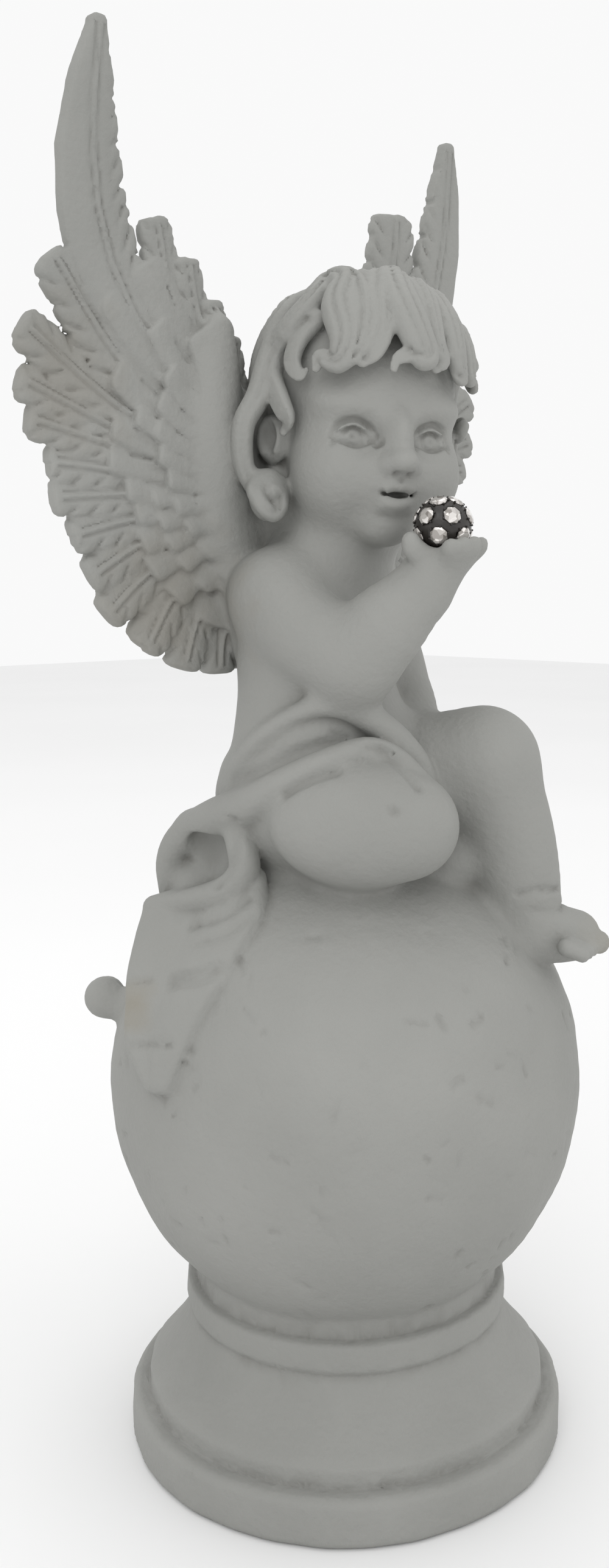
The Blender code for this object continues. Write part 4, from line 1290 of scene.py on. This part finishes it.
def bead_ball(dark):
    """The clay ball, with a pit under each stone and a raised rim round it."""
    bm = bmesh.new()
    bmesh.ops.create_uvsphere(bm, u_segments=64, v_segments=40, radius=BEAD_RADIUS)
    ways = list(stone_ways())
    for v in bm.verts:
        out = v.co.normalized()
        nearest = min(math.acos(max(-1, min(1, out.dot(w)))) * BEAD_RADIUS for w in ways)
        rim = math.exp(-(((nearest - STONE_RADIUS - 0.15) / 0.28) ** 2)) * 0.10
        pit = -0.35 if nearest < STONE_RADIUS * 0.9 else 0.0
        v.co = out * (BEAD_RADIUS - 0.1 + rim + pit) + Vector(BEAD)
        v.co *= MM
    mesh = bpy.data.meshes.new("bead_ball_skin")
    bm.to_mesh(mesh)
    bm.free()
    mesh.shade_smooth()
    return add_object("bead_ball_skin", mesh, dark)


# Build


def build_casting(finish):
    """Models the whole casting in the clay and skins it."""
    turned_base()
    body()
    legs()
    cloth()
    for side in (-1, 1):
        wing(side)
    face()
    ears()
    hair()
    raised_arm()
    resting_arm()
    egg(BEAD, (BEAD_RADIUS + BEAD_SEAT,) * 3, blend=0.3, carve=True)
    ball_pits(BALL_PITS, PIT_SEED)
    made = add_object("cherub_casting", skin_mesh("cherub_casting"), finish)
    count = sum(len(p.vertices) - 2 for p in made.data.polygons)
    if count > SKIN_TRIANGLES:
        thin = made.modifiers.new("Thin", "DECIMATE")
        thin.ratio = SKIN_TRIANGLES / count
        applied(made)
    drop_crumbs(made.data)
    made.data.shade_smooth()
    return made


white, dark, crystal = cast_finish(), clay_finish(), crystal_finish()
casting = build_casting(white)
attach(casting, "root")
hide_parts("angel_casting")
ball = bead_ball(dark)
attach(ball, "root")
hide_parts("bead_ball")
claws = stone_claws(dark)
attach(claws, "root")
cut = brilliant("cut_stone", crystal)
for number, way in enumerate(stone_ways(), start=1):
    mesh = cut.copy()
    spin = way.to_track_quat("Z", "Y").to_matrix().to_4x4()
    mesh.transform(Matrix.Translation(Vector(BEAD) * MM) @ spin)
    stone = add_object(f"cut_stone_{number:02d}", mesh)
    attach(stone, "root")
    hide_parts(f"stone_{number:02d}")


# Floor, light and camera


def floor():
    """A plain pale floor just under the plinth."""
    bpy.ops.mesh.primitive_plane_add(size=4, location=(0, 0, -0.0002))
    ground = bpy.context.object
    ground.name = "floor"
    made, tree, shader = blank("pale_floor")
    link = tree.links.new
    place = node(tree, "ShaderNodeTexCoord").outputs["Object"]
    noise = node(tree, "ShaderNodeTexNoise")
    noise.inputs["Scale"].default_value = 4
    link(place, noise.inputs["Vector"])
    tone = node(tree, "ShaderNodeValToRGB")
    tone.color_ramp.elements[0].color = (0.86, 0.86, 0.86, 1)
    tone.color_ramp.elements[1].color = (0.90, 0.90, 0.90, 1)
    link(noise.outputs["Fac"], tone.inputs["Fac"])
    link(tone.outputs["Color"], shader.inputs["Base Color"])
    shader.inputs["Roughness"].default_value = 0.9
    ground.data.materials.append(made)


def lamp(name, place, aim, size, watts):
    """A soft white area light."""
    light = bpy.data.lights.new(name, "AREA")
    light.size = size
    light.energy = watts
    made = bpy.data.objects.new(name, light)
    bpy.context.scene.collection.objects.link(made)
    made.location = place
    made.rotation_euler = (Vector(aim) - Vector(place)).to_track_quat("-Z", "Y").to_euler()


floor()
lamp("key", (-0.75, -0.45, 0.85), (0, 0, 0.13), 0.7, 2.6)
lamp("fill", (0.30, -0.95, 0.45), (0, 0, 0.12), 0.9, 0.8)
lamp("top", (0.05, 0.1, 1.1), (0, 0, 0.12), 0.7, 1.4)
world = bpy.data.worlds.new("studio")
bpy.context.scene.world = world
world.use_nodes = True
world.node_tree.nodes["Background"].inputs["Color"].default_value = (1.0, 1.0, 1.0, 1)
world.node_tree.nodes["Background"].inputs["Strength"].default_value = 0.95

camera = bpy.data.cameras.new("camera")
camera.lens = LENS
camera.sensor_width = SENSOR
camera.sensor_fit = "AUTO"
camera.shift_x = SHIFT_ACROSS / PHOTO_HEIGHT
camera.shift_y = SHIFT_UP / PHOTO_HEIGHT
camera.clip_start = 0.01
seen = bpy.data.objects.new("camera", camera)
bpy.context.scene.collection.objects.link(seen)
seen.location = Vector(VIEWER) * MM
seen.rotation_euler = (math.radians(90 + VIEW_PITCH), 0, math.radians(VIEW_TURN))
bpy.context.scene.camera = seen
bpy.context.scene.view_settings.view_transform = "Standard"
